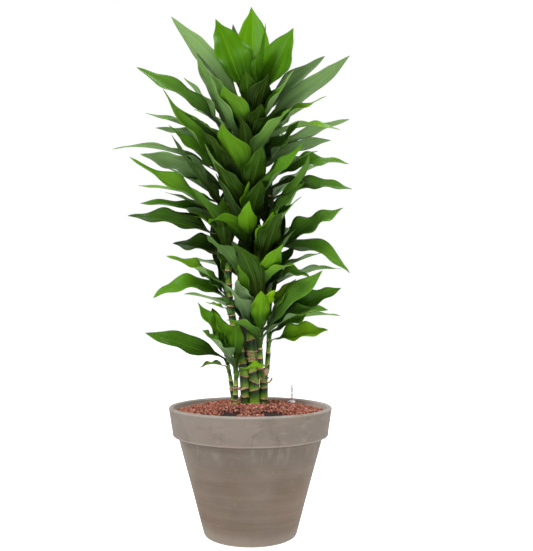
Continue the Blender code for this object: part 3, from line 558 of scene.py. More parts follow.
# Painted shade: the bed under the loose granules is near black, for the gaps between them.
GRANULE_BED = (0.9, (1, 1, 1), 240, 4, 0.8, 0.003, (0.35, 0.012, 0.005, 0.004), (0.75, 0.050, 0.017, 0.012))
BLACK_PLASTIC = (0.45, (1, 1, 1), 160, 3, 0.15, 0.0005, (0.4, 0.010, 0.010, 0.011), (0.8, 0.03, 0.028, 0.027))
YELLOW_PAINT = (0.4, (1, 1, 1), 600, 2, 0, 0, (0.3, 0.72, 0.55, 0.12), (0.7, 0.85, 0.70, 0.22))
RED_PLASTIC = (0.4, (1, 1, 1), 600, 2, 0, 0, (0.3, 0.50, 0.02, 0.01), (0.7, 0.65, 0.04, 0.02))


def grainy_finish(name, roughness, stretch, scale, detail, strength, distance, *stops):
    f = Finish(name, roughness)
    grain = f.grain(scale, detail, stretch)
    f.colour(f.ramp(grain, *stops))
    if strength:
        f.bump(grain, strength, distance)
    return f.material


def granule_finish():
    """Fired clay granules, each a shade of its own, paler on the raised grain, with painted shade in the
    pores.
    """
    f = Finish("clay_granules", 0.82)
    body = f.ramp(f.attribute("tone"), (0.0, 0.116, 0.034, 0.024), (0.3, 0.255, 0.073, 0.045),
                  (0.6, 0.418, 0.129, 0.078), (0.85, 0.557, 0.202, 0.130), (1.0, 0.696, 0.347, 0.248))
    pores = f.grain(900, 3, roughness=0.7)
    pale_on_raised_grain = f.over(body, (0.719, 0.403, 0.302), f.between(pores, 0.5, 0.75, 0.0, 0.4))
    # Painted shade: the pores, where the bump sinks, go near black.
    f.colour(f.over(pale_on_raised_grain, (0.070, 0.020, 0.015), f.between(pores, 0.42, 0.28, 0.0, 0.55)))
    f.bump(pores, 0.7, 0.0008)
    return f.material


def terracotta_finish():
    """Grey-brown raw clay: mottled, banded by turning, with pale runs under the collar and a pale foot."""
    f = Finish("grey_terracotta", 0.86)
    x, y, height = f.split(f.object_space())
    cloud = f.grain(7.0, 5, roughness=0.6)
    tint = f.ramp(cloud, (0.28, 0.090, 0.070, 0.054), (0.5, 0.116, 0.092, 0.072),
                  (0.72, 0.144, 0.117, 0.095))

    # The body: warmer low down, with turning marks, chips, and runs under the collar.
    low_down = f.between(height, 0.20, 0.11)
    patch = f.grain(3.2, 3, (1, 1, 1.6), distortion=0.6)
    tint = f.over(tint, (0.129, 0.082, 0.053), f.between(patch, 0.34, 0.6, 0.25, 0.8), low_down)
    turning = f.grain(1.5, 3, (1.2, 1.2, 36), roughness=0.5)
    tint = f.over(tint, (0.185, 0.140, 0.106), f.between(turning, 0.4, 0.7, 0.0, 0.3))
    strokes = f.grain(2.0, 5, (3, 3, 60), roughness=0.7)
    tint = f.over(tint, (0.088, 0.062, 0.044), f.between(strokes, 0.52, 0.7, 0.0, 0.4), low_down)
    chips = f.grain(34, 5, roughness=0.75)
    tint = f.over(tint, (0.19, 0.158, 0.130), f.between(chips, 0.56, 0.74, 0.0, 0.35))
    runs = f.between(f.grain(1.0, 4, (75, 75, 5.0), roughness=0.65), 0.5, 0.74, 0.0, 0.3)
    under_collar = f.times(f.between(height, 0.165, 0.205), f.between(height, 0.222, 0.214))
    tint = f.over(tint, (0.260, 0.226, 0.196), runs, under_collar)
    foot = f.plus(height, f.times(f.minus(cloud, 0.5), 0.05))
    tint = f.over(tint, (0.275, 0.237, 0.199), f.between(foot, 0.042, 0.004, 0.0, 0.55))

    # The collar: greyer, smeared and chalky, with a worn lower edge over a painted shadow under its overhang.
    collar = f.between(height, 0.2155, 0.219)
    tint = f.over(tint, (0.164, 0.134, 0.112), f.between(cloud, 0.25, 0.7, 0.55, 0.95), collar)
    smear = f.grain(19, 5, (1, 1, 0.7), roughness=0.65, distortion=0.9)
    tint = f.over(tint, (0.092, 0.072, 0.057), f.between(smear, 0.52, 0.70, 0.0, 0.5), collar)
    chalk = f.grain(26, 5, (1, 1, 2.2), roughness=0.7)
    tint = f.over(tint, (0.245, 0.210, 0.180), f.between(chalk, 0.5, 0.72, 0.0, 0.5), collar)
    worn = f.times(f.between(height, 0.2175, 0.2195), f.between(height, 0.2245, 0.2215))
    tint = f.over(tint, (0.26, 0.225, 0.195), worn, 0.45)
    # Painted shadow: a dark band under the collar's overhang.
    shadow_under_collar = f.times(f.between(height, 0.2125, 0.2155), f.between(height, 0.2195, 0.2180))
    tint = f.over(tint, (0.060, 0.046, 0.036), shadow_under_collar, 0.5)

    # A painted highlight on the rim, painted light on the inner wall, rust at the edges, and specks all over.
    # Painted highlight: the rim's top is pale.
    lip = f.between(height, 0.2772, 0.2812)
    tint = f.over(tint, (0.34, 0.305, 0.27), lip, 0.8)
    # Painted light: the inner wall above the granules is pale.
    from_axis = f.math("SQRT", f.plus(f.times(x, x), f.times(y, y)))
    painted_light_inside = f.times(f.between(height, 0.24, 0.26), f.between(from_axis, 0.1735, 0.1715))
    tint = f.over(tint, (0.40, 0.36, 0.32), painted_light_inside, 0.9)
    edges = f.plus(lip, f.times(collar, f.between(height, 0.226, 0.2215)), clamp=True)
    rust = f.between(f.grain(18, 4), 0.52, 0.68, 0.0, 0.5)
    tint = f.over(tint, (0.207, 0.110, 0.059), rust, edges)
    speck = f.grain(420, 2, roughness=0.7)
    tint = f.over(tint, (0.252, 0.219, 0.189), f.between(speck, 0.62, 0.8, 0.0, 0.35))
    f.colour(f.over(tint, (0.057, 0.044, 0.035), f.between(speck, 0.4, 0.25, 0.0, 0.35)))
    f.roughness(f.between(cloud, 0.3, 0.7, 0.92, 0.78))
    f.bump(f.plus(f.times(speck, 0.35), f.times(turning, 0.5)), 0.35, 0.0008)
    return f.material


def pale_plastic_finish():
    """The gauge's pale moulded housing, near black at its foot, where it meets the granules."""
    f = Finish("gauge_plastic", 0.32)
    height = f.split(f.object_space())[2]
    haze = f.grain(220, 2)
    body = f.ramp(haze, (0.3, 0.50, 0.51, 0.58), (0.7, 0.68, 0.69, 0.76))
    f.colour(f.over(body, (0.035, 0.035, 0.06), f.between(height, 0.2832, 0.2816)))
    f.bump(haze, 0.08, 0.0003)
    return f.material


def clear_plastic_finish():
    f = Finish("gauge_clear_plastic", 0.08)
    f.colour((0.72, 0.73, 0.80))
    f.set("Alpha", 0.26)
    f.set("IOR", 1.49)
    return f.material


def floor_finish():
    f = Finish("studio_floor", 0.9)
    f.colour((0.9, 0.9, 0.9))
    f.set("Emission Color", (1, 1, 1, 1))
    f.set("Emission Strength", 0.8)
    return f.material


# --- Making meshes ---


def thicken(obj, centimetres, offset):
    thick = obj.modifiers.new("thickness", "SOLIDIFY")
    thick.thickness = centimetres * CM
    thick.offset = offset
    return thick


def give_material(obj, material):
    for slot in obj.material_slots:
        slot.material = material


def add_to_scene(name, data):
    obj = bpy.data.objects.new(name, data)
    bpy.context.scene.collection.objects.link(obj)
    return obj


def made_mesh(name, bm, *materials):
    mesh = bpy.data.meshes.new(name)
    bm.to_mesh(mesh)
    bm.free()
    for material in materials:
        mesh.materials.append(material)
    return mesh


def finish_object(name, bm, materials, node=None, body=PLANTER):
    """Turns a bmesh into a piece that rides on a body and, where it has one, replaces its CAD node."""
    mesh = made_mesh(name, bm, *materials)
    mesh.shade_smooth()
    obj = add_to_scene(name, mesh)
    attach(obj, body)
    if node:
        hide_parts(node)
    return obj


def turned(outline, sides, centre=(0, 0)):
    """A solid turned about a vertical axis from a closed outline of (radius, height), in cm."""
    bm = bmesh.new()
    points = [bm.verts.new((radius * CM, 0, height * CM)) for radius, height in outline]
    pairs = zip(points, points[1:] + points[:1])
    edges = [bm.edges.new(pair) for pair in pairs if pair[0].co.x or pair[1].co.x]
    bmesh.ops.spin(bm, geom=points + edges, cent=(0, 0, 0), axis=(0, 0, 1), angle=2 * math.pi, steps=sides,
                   use_merge=True)
    bmesh.ops.remove_doubles(bm, verts=bm.verts, dist=1e-6)
    bmesh.ops.recalc_face_normals(bm, faces=bm.faces)
    bmesh.ops.translate(bm, verts=bm.verts, vec=(centre[0] * CM, centre[1] * CM, 0))
    return bm


def arc(centre, radius, first, last, steps):
    turns = [math.radians(first + (last - first) * i / steps) for i in range(steps + 1)]
    return [(centre[0] + radius * math.cos(a), centre[1] + radius * math.sin(a)) for a in turns]


def smoothstep(low, high, value):
    t = min(1.0, max(0.0, (value - low) / (high - low)))
    return t * t * (3 - 2 * t)


# --- Leaves ---


def blade_shades(leaf, sideward):
    """How silvery a blade is, with painted sheen on blades that lean out sideways, and its tone, with painted
    light and shade.
    """
    if leaf.root > CALM_FROM:
        return 0, leaf.tone - 0.16
    if leaf.tone > BLEACHED_FROM:
        return 0.75, leaf.tone - 0.2
    # Painted shade darkens the steep inner fillers, and painted light brightens blades that lean out
    # sideways; the low blades are lighter again.
    shade = -0.2 if leaf.filler and leaf.cane != "back" else 0.04 + 0.08 * sideward
    # Their silver is painted sheen, growing as the blade leans out sideways.
    if leaf.root < LOW_BELOW:
        return 0.3 * sideward, leaf.tone + (shade + 0.17)
    return 0.55 * sideward, leaf.tone + shade


def add_blade(bm, tones, silver_and_sheen_layer, leaf, rng):
    """One blade: it clasps the cane, then folds along its midrib, waves at its margins and narrows."""
    grid = bmesh.ops.create_grid(bm, x_segments=ACROSS, y_segments=ALONG, size=1, calc_uvs=True)["verts"]
    foot, outward, across = bearings(leaf)
    clasp_radius = cane_radius(leaf.cane, leaf.root) + 0.06 + 0.08 * rng.random()
    waves, phase = rng.uniform(1.8, 3.4), rng.uniform(0, 6.3)
    lag, ruffle = rng.uniform(0.5, 2.6), rng.uniform(0.06, 0.125) * leaf.width
    bow, curl, hook = rng.uniform(-0.035, 0.035), rng.uniform(-16, 16), rng.uniform(-0.3, 0.3)
    nicks = rng.uniform(0, 40)
    tapering = 0.05
    if leaf.root > CALM_FROM:
        ruffle, curl, hook, bow = 0.55 * ruffle, 0.6 * curl, 0.4 * hook, 0.5 * bow
        tapering = 0.32
    silver_and_sheen, tone = blade_shades(leaf, smoothstep(0.55, 0.95, abs(outward.x)))
    length = (leaf.tip - foot).length
    sections = [leaf_section(leaf, row / ALONG) for row in range(ALONG + 1)]
    for vert in grid:
        s, t = vert.co.x, (vert.co.y + 1) / 2
        centre, sideways, facing, half = sections[round(t * ALONG)]
        narrowing = 0.18 * smoothstep(0.5, 0.8, t) + tapering * smoothstep(0.8, 0.95, t)
        half *= 1 + 0.1 * smoothstep(0.08, 0.3, t) - narrowing
        half *= 1 + 0.05 * s * noise.noise(Vector((t * 9, s, nicks)))
        if t > 0.999:
            half = 0.03
        fold = math.radians(24 * smoothstep(0.02, 0.3, t) - 15 * smoothstep(0.45, 1.0, t))
        twist = math.radians(curl) * smoothstep(0.45, 1.0, t)
        flat = sideways * math.cos(twist) + facing * math.sin(twist)
        lift = facing * math.cos(twist) - sideways * math.sin(twist)
        swell = math.sin(math.pi * min(1, t * 1.02)) ** 0.7 if 0 < t < 0.98 else 0
        ripple = math.sin(2 * math.pi * waves * t + phase + (lag if s > 0 else 0))
        ripple += 0.5 * noise.noise(Vector((t * 7, 2 * s, nicks + 9)))
        wave = ruffle * swell * abs(s) ** 1.6 * ripple
        rise = half * abs(s) ** 1.25 * math.sin(fold) + wave - 0.05 * half * (1 - abs(s)) ** 3
        point = centre + flat * (s * half * math.cos(fold)) + lift * rise
        point += across * length * (bow * math.sin(math.pi * t) + hook * smoothstep(0.8, 1.0, t) * (t - 0.8))
        hold = 1 - smoothstep(0.03, CLASP_END, t)
        if hold > 0:
            turn = s * (1.9 - 1.0 * t / CLASP_END)
            height = leaf.root - 1.3 + 2.9 * t / CLASP_END + 0.25 * abs(s)
            around = outward * math.cos(turn) + across * math.sin(turn)
            point = point.lerp(axis(leaf.cane, height) + around * clasp_radius, hold)
        vert.co = point * CM
        vert[tones] = tone
        vert[silver_and_sheen_layer] = silver_and_sheen
    if outward.x < 0:
        faces = {face for vert in grid for face in vert.link_faces}
        bmesh.ops.reverse_faces(bm, faces=list(faces))


def make_leaves(frame):
    top, under = leaf_top_finish(), leaf_under_finish()
    for name, leaves in all_leaves():
        node = frame["nodes"].get(name)
        if node is None:
            continue
        corners = corners_of(node)
        bm = bmesh.new()
        bm.loops.layers.uv.new("blade")
        tones = bm.verts.layers.float.new("tone")
        silver_and_sheen_layer = bm.verts.layers.float.new("silver_and_sheen")
        for k, leaf in enumerate(leaves):
            grown = as_grown(leaf, corners)
            if grown:
                add_blade(bm, tones, silver_and_sheen_layer, grown, random.Random(f"{name} {k}"))
        obj = finish_object(name + "_blades", bm, [top, under], node=name)
        thicken(obj, BLADE_THICKNESS, -1).material_offset = 1


# --- Canes ---

# The bare foot of each cane: how much fatter it is than the bar that stands for it, the height at which the
# leaves begin, and its lowest rings by height and by how far they tilt from side to side. More follow above.
BARE_FEET = {
    "centre": (0.17, 45.5, [(28.9, 0.1), (31.9, 0.28), (33.6, -0.45), (35.9, 0.3), (38.2, 0.05),
                            (43.0, 0.3), (45.4, -0.2)]),
    "left": (0.09, 48.5, [(30.4, -0.05), (32.2, 0.2), (35.0, -0.3), (37.6, 0.25), (40.4, -0.2)]),
    "right": (0.1, 60, [(29.9, -0.1), (32.3, 0.1), (33.5, -0.2), (35.0, 0.2)]),
    "back": (0.15, 43.5, [(30.0, 0.1), (33.0, -0.2), (36.2, 0.2)]),
    "inner_shoot": (0.3, 42, [(36.6, 0.1), (38.9, -0.1), (41.0, 0.1)]),
    "outer_shoot": (0.22, 42, [(37.4, 0.1), (39.9, -0.12), (42.6, 0.1)]),
    "front_sucker": (0.3, 35.5, [(29.0, 0.1), (31.0, -0.2), (33.0, 0.15)]),
    "left_sucker": (0.3, 36, [(29.4, 0.1), (31.6, -0.15)]),
}
RING_PACE = 2.5
CANE_AROUND = 24
CANE_STEP = 0.16


def rings_of(name):
    rings = list(BARE_FEET[name][2])
    while rings[-1][0] < CANES[name][0][-1][2] - 1.5:
        i = len(rings)
        rings.append((rings[-1][0] + RING_PACE + 0.5 * math.sin(5.3 * i), 0.22 * math.sin(2.7 * i + 1)))
    return rings


def plump(name, z):
    """How many times as fat as the CAD's six-sided bar a cane is: fatter only where it is bare."""
    plumpness, leafy_from, _ = BARE_FEET[name]
    return 1 + plumpness * smoothstep(leafy_from, leafy_from - 3, z)


def add_cane(bm, stages, scars, name, low, high):
    """A ringed cane: each ring is a low, uneven ridge with a groove above it and a slight swelling below."""
    rings = rings_of(name)
    steps = math.ceil((high - low) / CANE_STEP)
    grid = bmesh.ops.create_grid(bm, x_segments=CANE_AROUND, y_segments=steps, size=1)["verts"]
    for vert in grid:
        column = round((vert.co.x + 1) / 2 * CANE_AROUND) % CANE_AROUND
        row = round((vert.co.y + 1) / 2 * steps)
        turn = 2 * math.pi * column / CANE_AROUND
        z = low + (high - low) * row / steps
        way = heading(turn)
        radius = cane_radius(name, z) * plump(name, z)
        wobble = noise.noise(Vector((way.x * 1.3, way.y * 1.3, z * 1.1 + len(name) * 9))) * 0.14
        level = z - wobble
        tilted = [height + tilt * way.x * radius for height, tilt in rings]
        below = [height for height in tilted if height <= level]
        above = [height for height in tilted if height > level]
        floor = below[-1] if below else level - 1.5
        roof = above[0] if above else level + 1.5
        stage = (level - floor) / max(0.3, roof - floor)
        near = min(level - floor if below else 9, roof - level if above else 9)
        ridge = math.exp(-(near / 0.11) ** 2)
        swell = 0.05 * math.exp(-((roof - level) / 0.55) ** 2) if above else 0
        ragged = 1 + 0.5 * noise.noise(Vector((way.x * 3, way.y * 3, z * 2)))
        radius *= 0.985 + 0.03 * noise.noise(Vector((way.x, way.y, z * 0.4 + 7)))
        if name == "left":
            radius += 0.34 * max(0, way.x) * smoothstep(29, 35, z) * smoothstep(44, 40, z)
        groove = 0.03 * math.exp(-((level - floor - 0.24) / 0.12) ** 2)
        radius += 0.075 * ridge * ragged + swell * cane_radius(name, z) - groove
        vert.co = (axis(name, z) + way * radius) * CM
        vert[stages] = stage
        vert[scars] = ridge * min(1.2, 0.75 + 0.5 * ragged)


def make_canes():
    skin_material = cane_finish()
    groups = {"centre": ["centre"], "left": ["left"], "back": ["back"], "front_sucker": ["front_sucker"],
              "left_sucker": ["left_sucker"], "right": ["right", "inner_shoot", "outer_shoot"]}
    for cane, members in groups.items():
        bm = bmesh.new()
        stages = bm.verts.layers.float.new("stage")
        scars = bm.verts.layers.float.new("scar")
        for name in members:
            path = CANES[name][0]
            start = path[0][2] + (BURIED if path[0][2] < ROOTED_BELOW else 0)
            add_cane(bm, stages, scars, name, start, path[-1][2])
        bmesh.ops.remove_doubles(bm, verts=bm.verts, dist=1e-6)
        bmesh.ops.holes_fill(bm, edges=[edge for edge in bm.edges if edge.is_boundary], sides=0)
        bmesh.ops.recalc_face_normals(bm, faces=bm.faces)
        finish_object(cane + "_ringed_cane", bm, [skin_material], node=cane + "_cane")


def add_husk_collar(bm, rng, name, height, flare, tall, tilt, gap=(0, 0)):
    """A dry leaf base round the cane: a thin, flared, uneven collar. gap is the arc that has fallen off."""
    around, along = 40, 4
    start, end = math.radians(gap[1]), math.radians(360 + gap[0])
    grid = bmesh.ops.create_grid(bm, x_segments=around, y_segments=along, size=1)["verts"]
    seed = rng.uniform(0, 50)
    for vert in grid:
        u, v = (vert.co.x + 1) / 2, (vert.co.y + 1) / 2
        turn = start + (end - start) * u
        way = heading(turn)
        rough = noise.noise(Vector((way.x * 2, way.y * 2, seed)))
        z = height + v * tall * (1 + 0.7 * rough) + tilt * way.x
        radius = cane_radius(name, height) * plump(name, height) + 0.03
        radius += flare * v ** 1.5 * (1 + 0.8 * rough)
        vert.co = (axis(name, z) + way * radius) * CM


def add_strip(bm, face, *path):
    """A narrow curled strip facing face, used for scraps of dry leaf and for painted shadow: each point of
    its path is (x, y, z, half width).
    """
    grid = bmesh.ops.create_grid(bm, x_segments=3, y_segments=len(path) - 1, size=1)["verts"]
    spine = [Vector(point[:3]) for point in path]
    for vert in grid:
        row = round((vert.co.y + 1) / 2 * (len(path) - 1))
        s, half = vert.co.x, path[row][3]
        ahead = spine[min(row + 1, len(spine) - 1)] - spine[max(row - 1, 0)]
        side = ahead.cross(Vector(face)).normalized()
        normal = side.cross(ahead).normalized()
        vert.co = (spine[row] + side * s * half + normal * 0.35 * half * s * s) * CM


def finish_thin_piece(name, bm, material):
    bmesh.ops.recalc_face_normals(bm, faces=bm.faces)
    thicken(finish_object(name, bm, [material]), THIN_PIECE_THICKNESS, 0)


def make_husks():
    """What dry leaves left behind: collars on the canes, curls at the cut cane, and a dormant bud."""
    rng = random.Random("husks")
    bm = bmesh.new()
    for collar in (
        # The cane, the collar's height, its flare, how tall it is, its tilt, and the fallen arc in degrees.
        ("centre", 38.55, 0.34, 0.42, 0.05),
        ("centre", 39.35, 0.3, 0.4, -0.04),
        ("centre", 40.15, 0.22, 0.36, 0.05),
        ("left", 32.0, 0.2, 0.4, 0.1, (20, 140)),
        ("left", 30.3, 0.12, 0.25, -0.05),
        ("right", 34.1, 0.26, 0.6, -0.08, (60, 120)),
        ("right", 35.4, 0.2, 0.9, 0.1, (200, 250)),
        ("front_sucker", 29.6, 0.1, 0.3, 0.05),
        ("front_sucker", 32.2, 0.16, 0.4, -0.05, (10, 80)),
        ("left_sucker", 31.4, 0.14, 0.6, 0.05, (290, 350)),
    ):
        add_husk_collar(bm, rng, *collar)
    add_strip(bm, (0, -1, 0.3), (3.3, -1.35, 33.5, 0.1), (3.8, -1.45, 33.45, 0.16), (4.3, -1.4, 33.65, 0.2),
              (4.65, -1.2, 34.1, 0.22), (4.75, -1.0, 34.6, 0.12))
    add_strip(bm, (0, -1, 0), (2.2, -1.5, 34.0, 0.2), (2.35, -1.6, 34.7, 0.35), (2.3, -1.65, 35.5, 0.3),
              (2.5, -1.6, 36.2, 0.3), (2.9, -1.4, 36.4, 0.12))
    add_strip(bm, (0, -1, 0.2), (3.0, -1.5, 34.9, 0.25), (3.3, -1.55, 35.6, 0.38), (3.5, -1.4, 36.3, 0.34),
              (3.45, -1.1, 36.9, 0.12))
    add_strip(bm, (0, -1, 0), (-2.9, -3.0, 32.0, 0.14), (-2.4, -2.2, 32.15, 0.2), (-1.9, -1.95, 32.0, 0.18),
              (-1.3, -1.95, 32.3, 0.2), (-0.9, -1.9, 32.6, 0.08))
    finish_thin_piece("dry_husks", bm, grainy_finish("dry_husk", *DRY_HUSK))

    bm = bmesh.new()
    for centre, size in (((3.35, -1.25, 34.6), (0.52, 0.42, 0.42)), ((3.3, -1.1, 36.1), (0.36, 0.36, 0.62))):
        ball = bmesh.ops.create_uvsphere(bm, u_segments=20, v_segments=12, radius=1)["verts"]
        for vert in ball:
            bulge = Vector(vert.co[i] * size[i] for i in range(3)) * (1 - 0.12 * vert.co.z)
            vert.co = (Vector(centre) + bulge) * CM
    finish_object("dormant_buds", bm, [grainy_finish("dormant_bud", *DORMANT_BUD)])


def make_shadow_strips():
    """Near-black strips wedged between the tall canes above the bare feet: painted shadow in the gaps behind
    them.
    """
    bm = bmesh.new()
    # Painted shadow: near-black strips in the dark gaps between the canes.
    add_strip(bm, (0, -1, 0), (-0.7, 0.2, 33.0, 0.3), (-0.8, 0.3, 36.0, 0.6), (-1.1, 0.4, 39.0, 0.9),
              (-1.4, 0.5, 42.0, 1.1), (-1.6, 0.6, 45.0, 1.1), (-1.8, 0.6, 48.0, 0.8))
    add_strip(bm, (0, -1, 0), (1.7, 0.3, 36.0, 0.3), (1.6, 0.2, 39.0, 0.5), (1.5, 0.3, 42.0, 0.6),
              (1.4, 0.3, 45.0, 0.6), (1.4, 0.3, 49.0, 0.4))
    add_strip(bm, (0, -1, 0), (-2.4, -0.6, 42.5, 0.12), (-2.5, -0.7, 44.0, 0.3), (-2.8, -0.7, 45.5, 0.34),
              (-2.9, -0.6, 47.0, 0.15))
    finish_thin_piece("shadow_strips", bm, grainy_finish("painted_shadow_strip", *SHADOW_STRIPS))


# --- Granules ---


def granule_level(radius, turn):
    """Height of the granules: mounded in the middle, lower at the wall, and sunk in dips behind the rim."""
    level = GRANULE_TOP - 0.5 * smoothstep(7.4, 9.8, radius) - 1.2 * smoothstep(10.0, GRANULE_REACH, radius)
    for middle in DIPS:
        off = abs((math.degrees(turn) - middle + 180) % 360 - 180)
        dip = 0.75 * smoothstep(13, 7, off)
        level -= dip * smoothstep(9.7, 10.3, radius) * smoothstep(15.5, 12.5, radius)
    return level


def make_granules(frame):
    rng = random.Random("granules")
    bm = bmesh.new()
    tones = bm.verts.layers.float.new("tone")
    obstacles = []
    for name, (path, _, _) in CANES.items():
        if path[0][2] < ROOTED_BELOW:
            spot = axis(name, SOIL_LEVEL)
            obstacles.append((spot.x, spot.y, cane_radius(name, SOIL_LEVEL) + 0.12))
    obstacles.append((*GAUGE_AT, GAUGE_ROOM))
    row_gap = GRANULE_SPACING * math.sqrt(3) / 2
    rows = int(GRANULE_REACH / row_gap)
    for j in range(-rows, rows + 1):
        for i in range(-40, 41):
            x = (i + 0.5 * (j % 2)) * GRANULE_SPACING + rng.uniform(-0.2, 0.2)
            y = j * row_gap + rng.uniform(-0.2, 0.2)
            radius = math.hypot(x, y)
            if radius > GRANULE_REACH or any(math.hypot(x - a, y - b) < c for a, b, c in obstacles):
                continue
            if rng.random() < BARE_SPOTS:
                continue
            size = GRANULE_RADIUS * rng.uniform(0.78, 1.22)
            z = granule_level(radius, math.atan2(y, x)) + rng.uniform(-0.24, 0.2)
            made = bmesh.ops.create_icosphere(bm, subdivisions=1, radius=1)["verts"]
            turn = Euler([rng.uniform(0, 6.28) for _ in range(3)]).to_matrix()
            shape = Matrix.Diagonal([rng.uniform(0.8, 1.15) for _ in range(3)])
            tone = min(1, max(0, rng.gauss(0.52, 0.28)))
            for vert in made:
                knob = vert.co * (1 + 0.18 * rng.uniform(-1, 1))
                vert.co = (Vector((x, y, z)) + turn @ (shape @ knob) * size) * CM
                vert[tones] = tone
    finish_object("loose_granules", bm, [granule_finish()])
    # Painted shade: the CAD's granulate and root ball go near black under the loose granules.
    for name in ("granulate", "root_ball"):
        give_material(frame["nodes"][name], grainy_finish(name + "_shade", *GRANULE_BED))


# --- Pot and gauge ---


def make_pot(frame):
    """The turned pot: a tapered body, a collar with a soft undercut, and a rounded lip, all worn uneven."""
    outline = [(0, 0), (9.2, 0), (9.5, 0.06)]
    outline += arc((9.75, 0.62), 0.6, -80, -14, 5)
    for share in (0.06, 0.2, 0.4, 0.6, 0.8, 0.95):
        outline.append((10.33 + (16.0 - 10.33) * share, 0.47 + 21.35 * share))
    outline += [(15.96, 21.66), (16.1, 21.84), (16.45, 21.9), (16.8, 21.98)]
    outline += arc((16.86, 22.3), 0.34, -78, 0, 4)
    outline += [(17.24, 22.9), (17.5, 24.6), (17.8, 26.6), (17.96, 27.7)]
    outline += arc((17.5, 27.8), 0.5, 10, 90, 6)
    outline += arc((17.35, 27.8), 0.5, 100, 180, 5)
    outline += [(16.7, 27.2), (16.2, 25.5), (13.0, 14.6), (9.1, 1.5), (0, 1.5)]
    bm = turned(outline, 160)
    for vert in bm.verts:
        radius = math.hypot(vert.co.x, vert.co.y)
        if radius > 0.02:
            uneven = 0.0005 * noise.noise(vert.co * 14) + 0.0002 * noise.noise(vert.co * 60)
            vert.co.x *= 1 + uneven / radius
            vert.co.y *= 1 + uneven / radius
            if vert.co.z > 0.28:
                vert.co.z += 0.0004 * noise.noise(vert.co * 22) - 0.0003
    finish_object("turned_pot", bm, [terracotta_finish()], node="pot")
    black = grainy_finish("black_plastic", *BLACK_PLASTIC)
    for name in ("liner", "grow_pot"):
        give_material(frame["nodes"][name], black)


def make_gauge():
    """The gauge: a pale domed housing, a clear tube with yellow marks, and the float with its red tip."""
    housing = [(0.83, 15.0), (0.95, 15.0), (0.95, 27.7), (1.08, 27.8), (1.1, 28.0), (1.0, 28.15),
               (0.86, 28.3), (0.68, 28.5), (0.55, 28.66), (0.5, 28.72), (0.4, 28.72), (0.4, 27.85),
               (0.28, 27.85), (0.28, 27.65), (0.83, 27.45)]
    finish_object("gauge_body", turned(housing, 48, GAUGE_AT), [pale_plastic_finish()],
                  node="gauge_housing")

    tube = [(0.3, 27.9), (0.38, 27.9), (0.39, 32.2)]
    tube += arc((0.27, 32.24), 0.12, 10, 90, 4) + [(0, 32.38), (0, 32.22), (0.2, 32.2), (0.3, 32.1)]
    finish_object("gauge_indicator_tube", turned(tube, 40, GAUGE_AT), [clear_plastic_finish()],
                  node="gauge_tube")

    marks = bmesh.new()
    for height in (31.25, 29.95):
        dab = bmesh.ops.create_uvsphere(marks, u_segments=16, v_segments=10, radius=CM)["verts"]
        bmesh.ops.scale(marks, verts=dab, vec=(0.17, 0.03, 0.13))
        front = (GAUGE_AT[0] * CM, (GAUGE_AT[1] - 0.39) * CM, height * CM)
        bmesh.ops.translate(marks, verts=dab, vec=front)
    yellow = grainy_finish("gauge_yellow", *YELLOW_PAINT)
    finish_object("gauge_level_marks", marks, [yellow])

    tip = 29.14
    bob = [(0, 15.1), (0.73, 15.3), (0.73, 19.0), (0.12, 19.4), (0.12, tip - 0.45)]
    bob += [(0.26, tip - 0.4), (0.26, tip - 0.06), (0.2, tip), (0, tip)]
    red = grainy_finish("gauge_red", *RED_PLASTIC)
    finish_object("gauge_red_float", turned(bob, 32, GAUGE_AT), [red],
                  node="gauge_float", body=FLOAT)


# --- Studio ---


def make_floor():
    bm = bmesh.new()
    bmesh.ops.create_grid(bm, x_segments=1, y_segments=1, size=14)
    floor = add_to_scene("studio_floor", made_mesh("studio_floor", bm, floor_finish()))
    floor.location.z = -0.0005


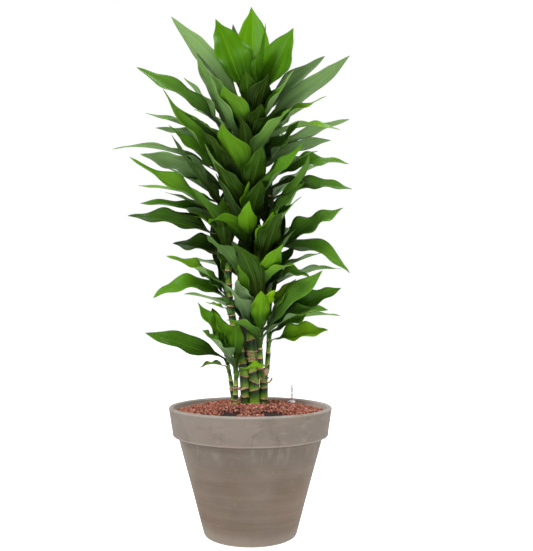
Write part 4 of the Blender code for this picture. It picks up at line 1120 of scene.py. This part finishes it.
def make_world():
    """A white room, seen as plain white, that gives less light from the front than from the back."""
    world = bpy.data.worlds.new("studio")
    bpy.context.scene.world = world
    world.use_nodes = True
    nodes, link = world.node_tree.nodes, world.node_tree.links.new
    white = (1, 1, 1, 1)
    room = nodes["Background"]
    room.inputs["Color"].default_value = white
    seen = nodes.new("ShaderNodeBackground")
    seen.inputs["Color"].default_value = white
    seen.inputs["Strength"].default_value = 1.0
    way = nodes.new("ShaderNodeTexCoord")
    parts = nodes.new("ShaderNodeSeparateXYZ")
    fade = nodes.new("ShaderNodeMapRange")
    fade.interpolation_type = "SMOOTHSTEP"
    for name, number in (("From Min", -0.5), ("From Max", 0.6), ("To Min", 0.08), ("To Max", 0.85)):
        fade.inputs[name].default_value = number
    link(way.outputs["Generated"], parts.inputs[0])
    link(parts.outputs[1], fade.inputs["Value"])
    link(fade.outputs["Result"], room.inputs["Strength"])
    path = nodes.new("ShaderNodeLightPath")
    mixed = nodes.new("ShaderNodeMixShader")
    link(path.outputs["Is Camera Ray"], mixed.inputs["Fac"])
    link(room.outputs[0], mixed.inputs[1])
    link(seen.outputs[0], mixed.inputs[2])
    link(mixed.outputs[0], nodes["World Output"].inputs["Surface"])


def make_lights():
    for name, place, aim, size, power in (
        ("key", (-1.5, -2.1, 2.7), (0, 0, 0.7), 1.1, 98),
        ("fill", (2.4, -1.6, 1.5), (0, 0, 0.5), 1.4, 30),
        ("top", (0.3, 0.6, 3.0), (0, 0, 0.8), 1.4, 52),
    ):
        light = bpy.data.lights.new(name, "AREA")
        light.size = size
        light.energy = power
        lamp = add_to_scene(name, light)
        lamp.location = place
        lamp.rotation_euler = (Vector(aim) - Vector(place)).to_track_quat("-Z", "Y").to_euler()


def make_camera():
    """The camera stands level, 1.5 m in front of the pot's axis, and its frame is raised by shift."""
    data = bpy.data.cameras.new("camera")
    data.lens = 44.1
    data.shift_x = 0.0292
    data.shift_y = 0.0804
    camera = add_to_scene("camera", data)
    camera.location = (0, -1.5, 0.473)
    camera.rotation_euler = (math.pi / 2, 0, 0)
    bpy.context.scene.camera = camera
    bpy.context.scene.view_settings.view_transform = "Standard"


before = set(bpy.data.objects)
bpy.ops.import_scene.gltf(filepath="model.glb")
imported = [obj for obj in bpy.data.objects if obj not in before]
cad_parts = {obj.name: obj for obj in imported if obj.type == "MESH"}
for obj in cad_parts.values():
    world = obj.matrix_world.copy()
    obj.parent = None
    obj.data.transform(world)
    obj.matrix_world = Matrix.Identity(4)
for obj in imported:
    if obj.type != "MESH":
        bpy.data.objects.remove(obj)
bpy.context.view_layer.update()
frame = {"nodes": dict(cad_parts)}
make_camera()
make_floor()
make_world()
make_lights()
make_pot(frame)
make_granules(frame)
make_gauge()
make_canes()
make_husks()
make_shadow_strips()
make_leaves(frame)
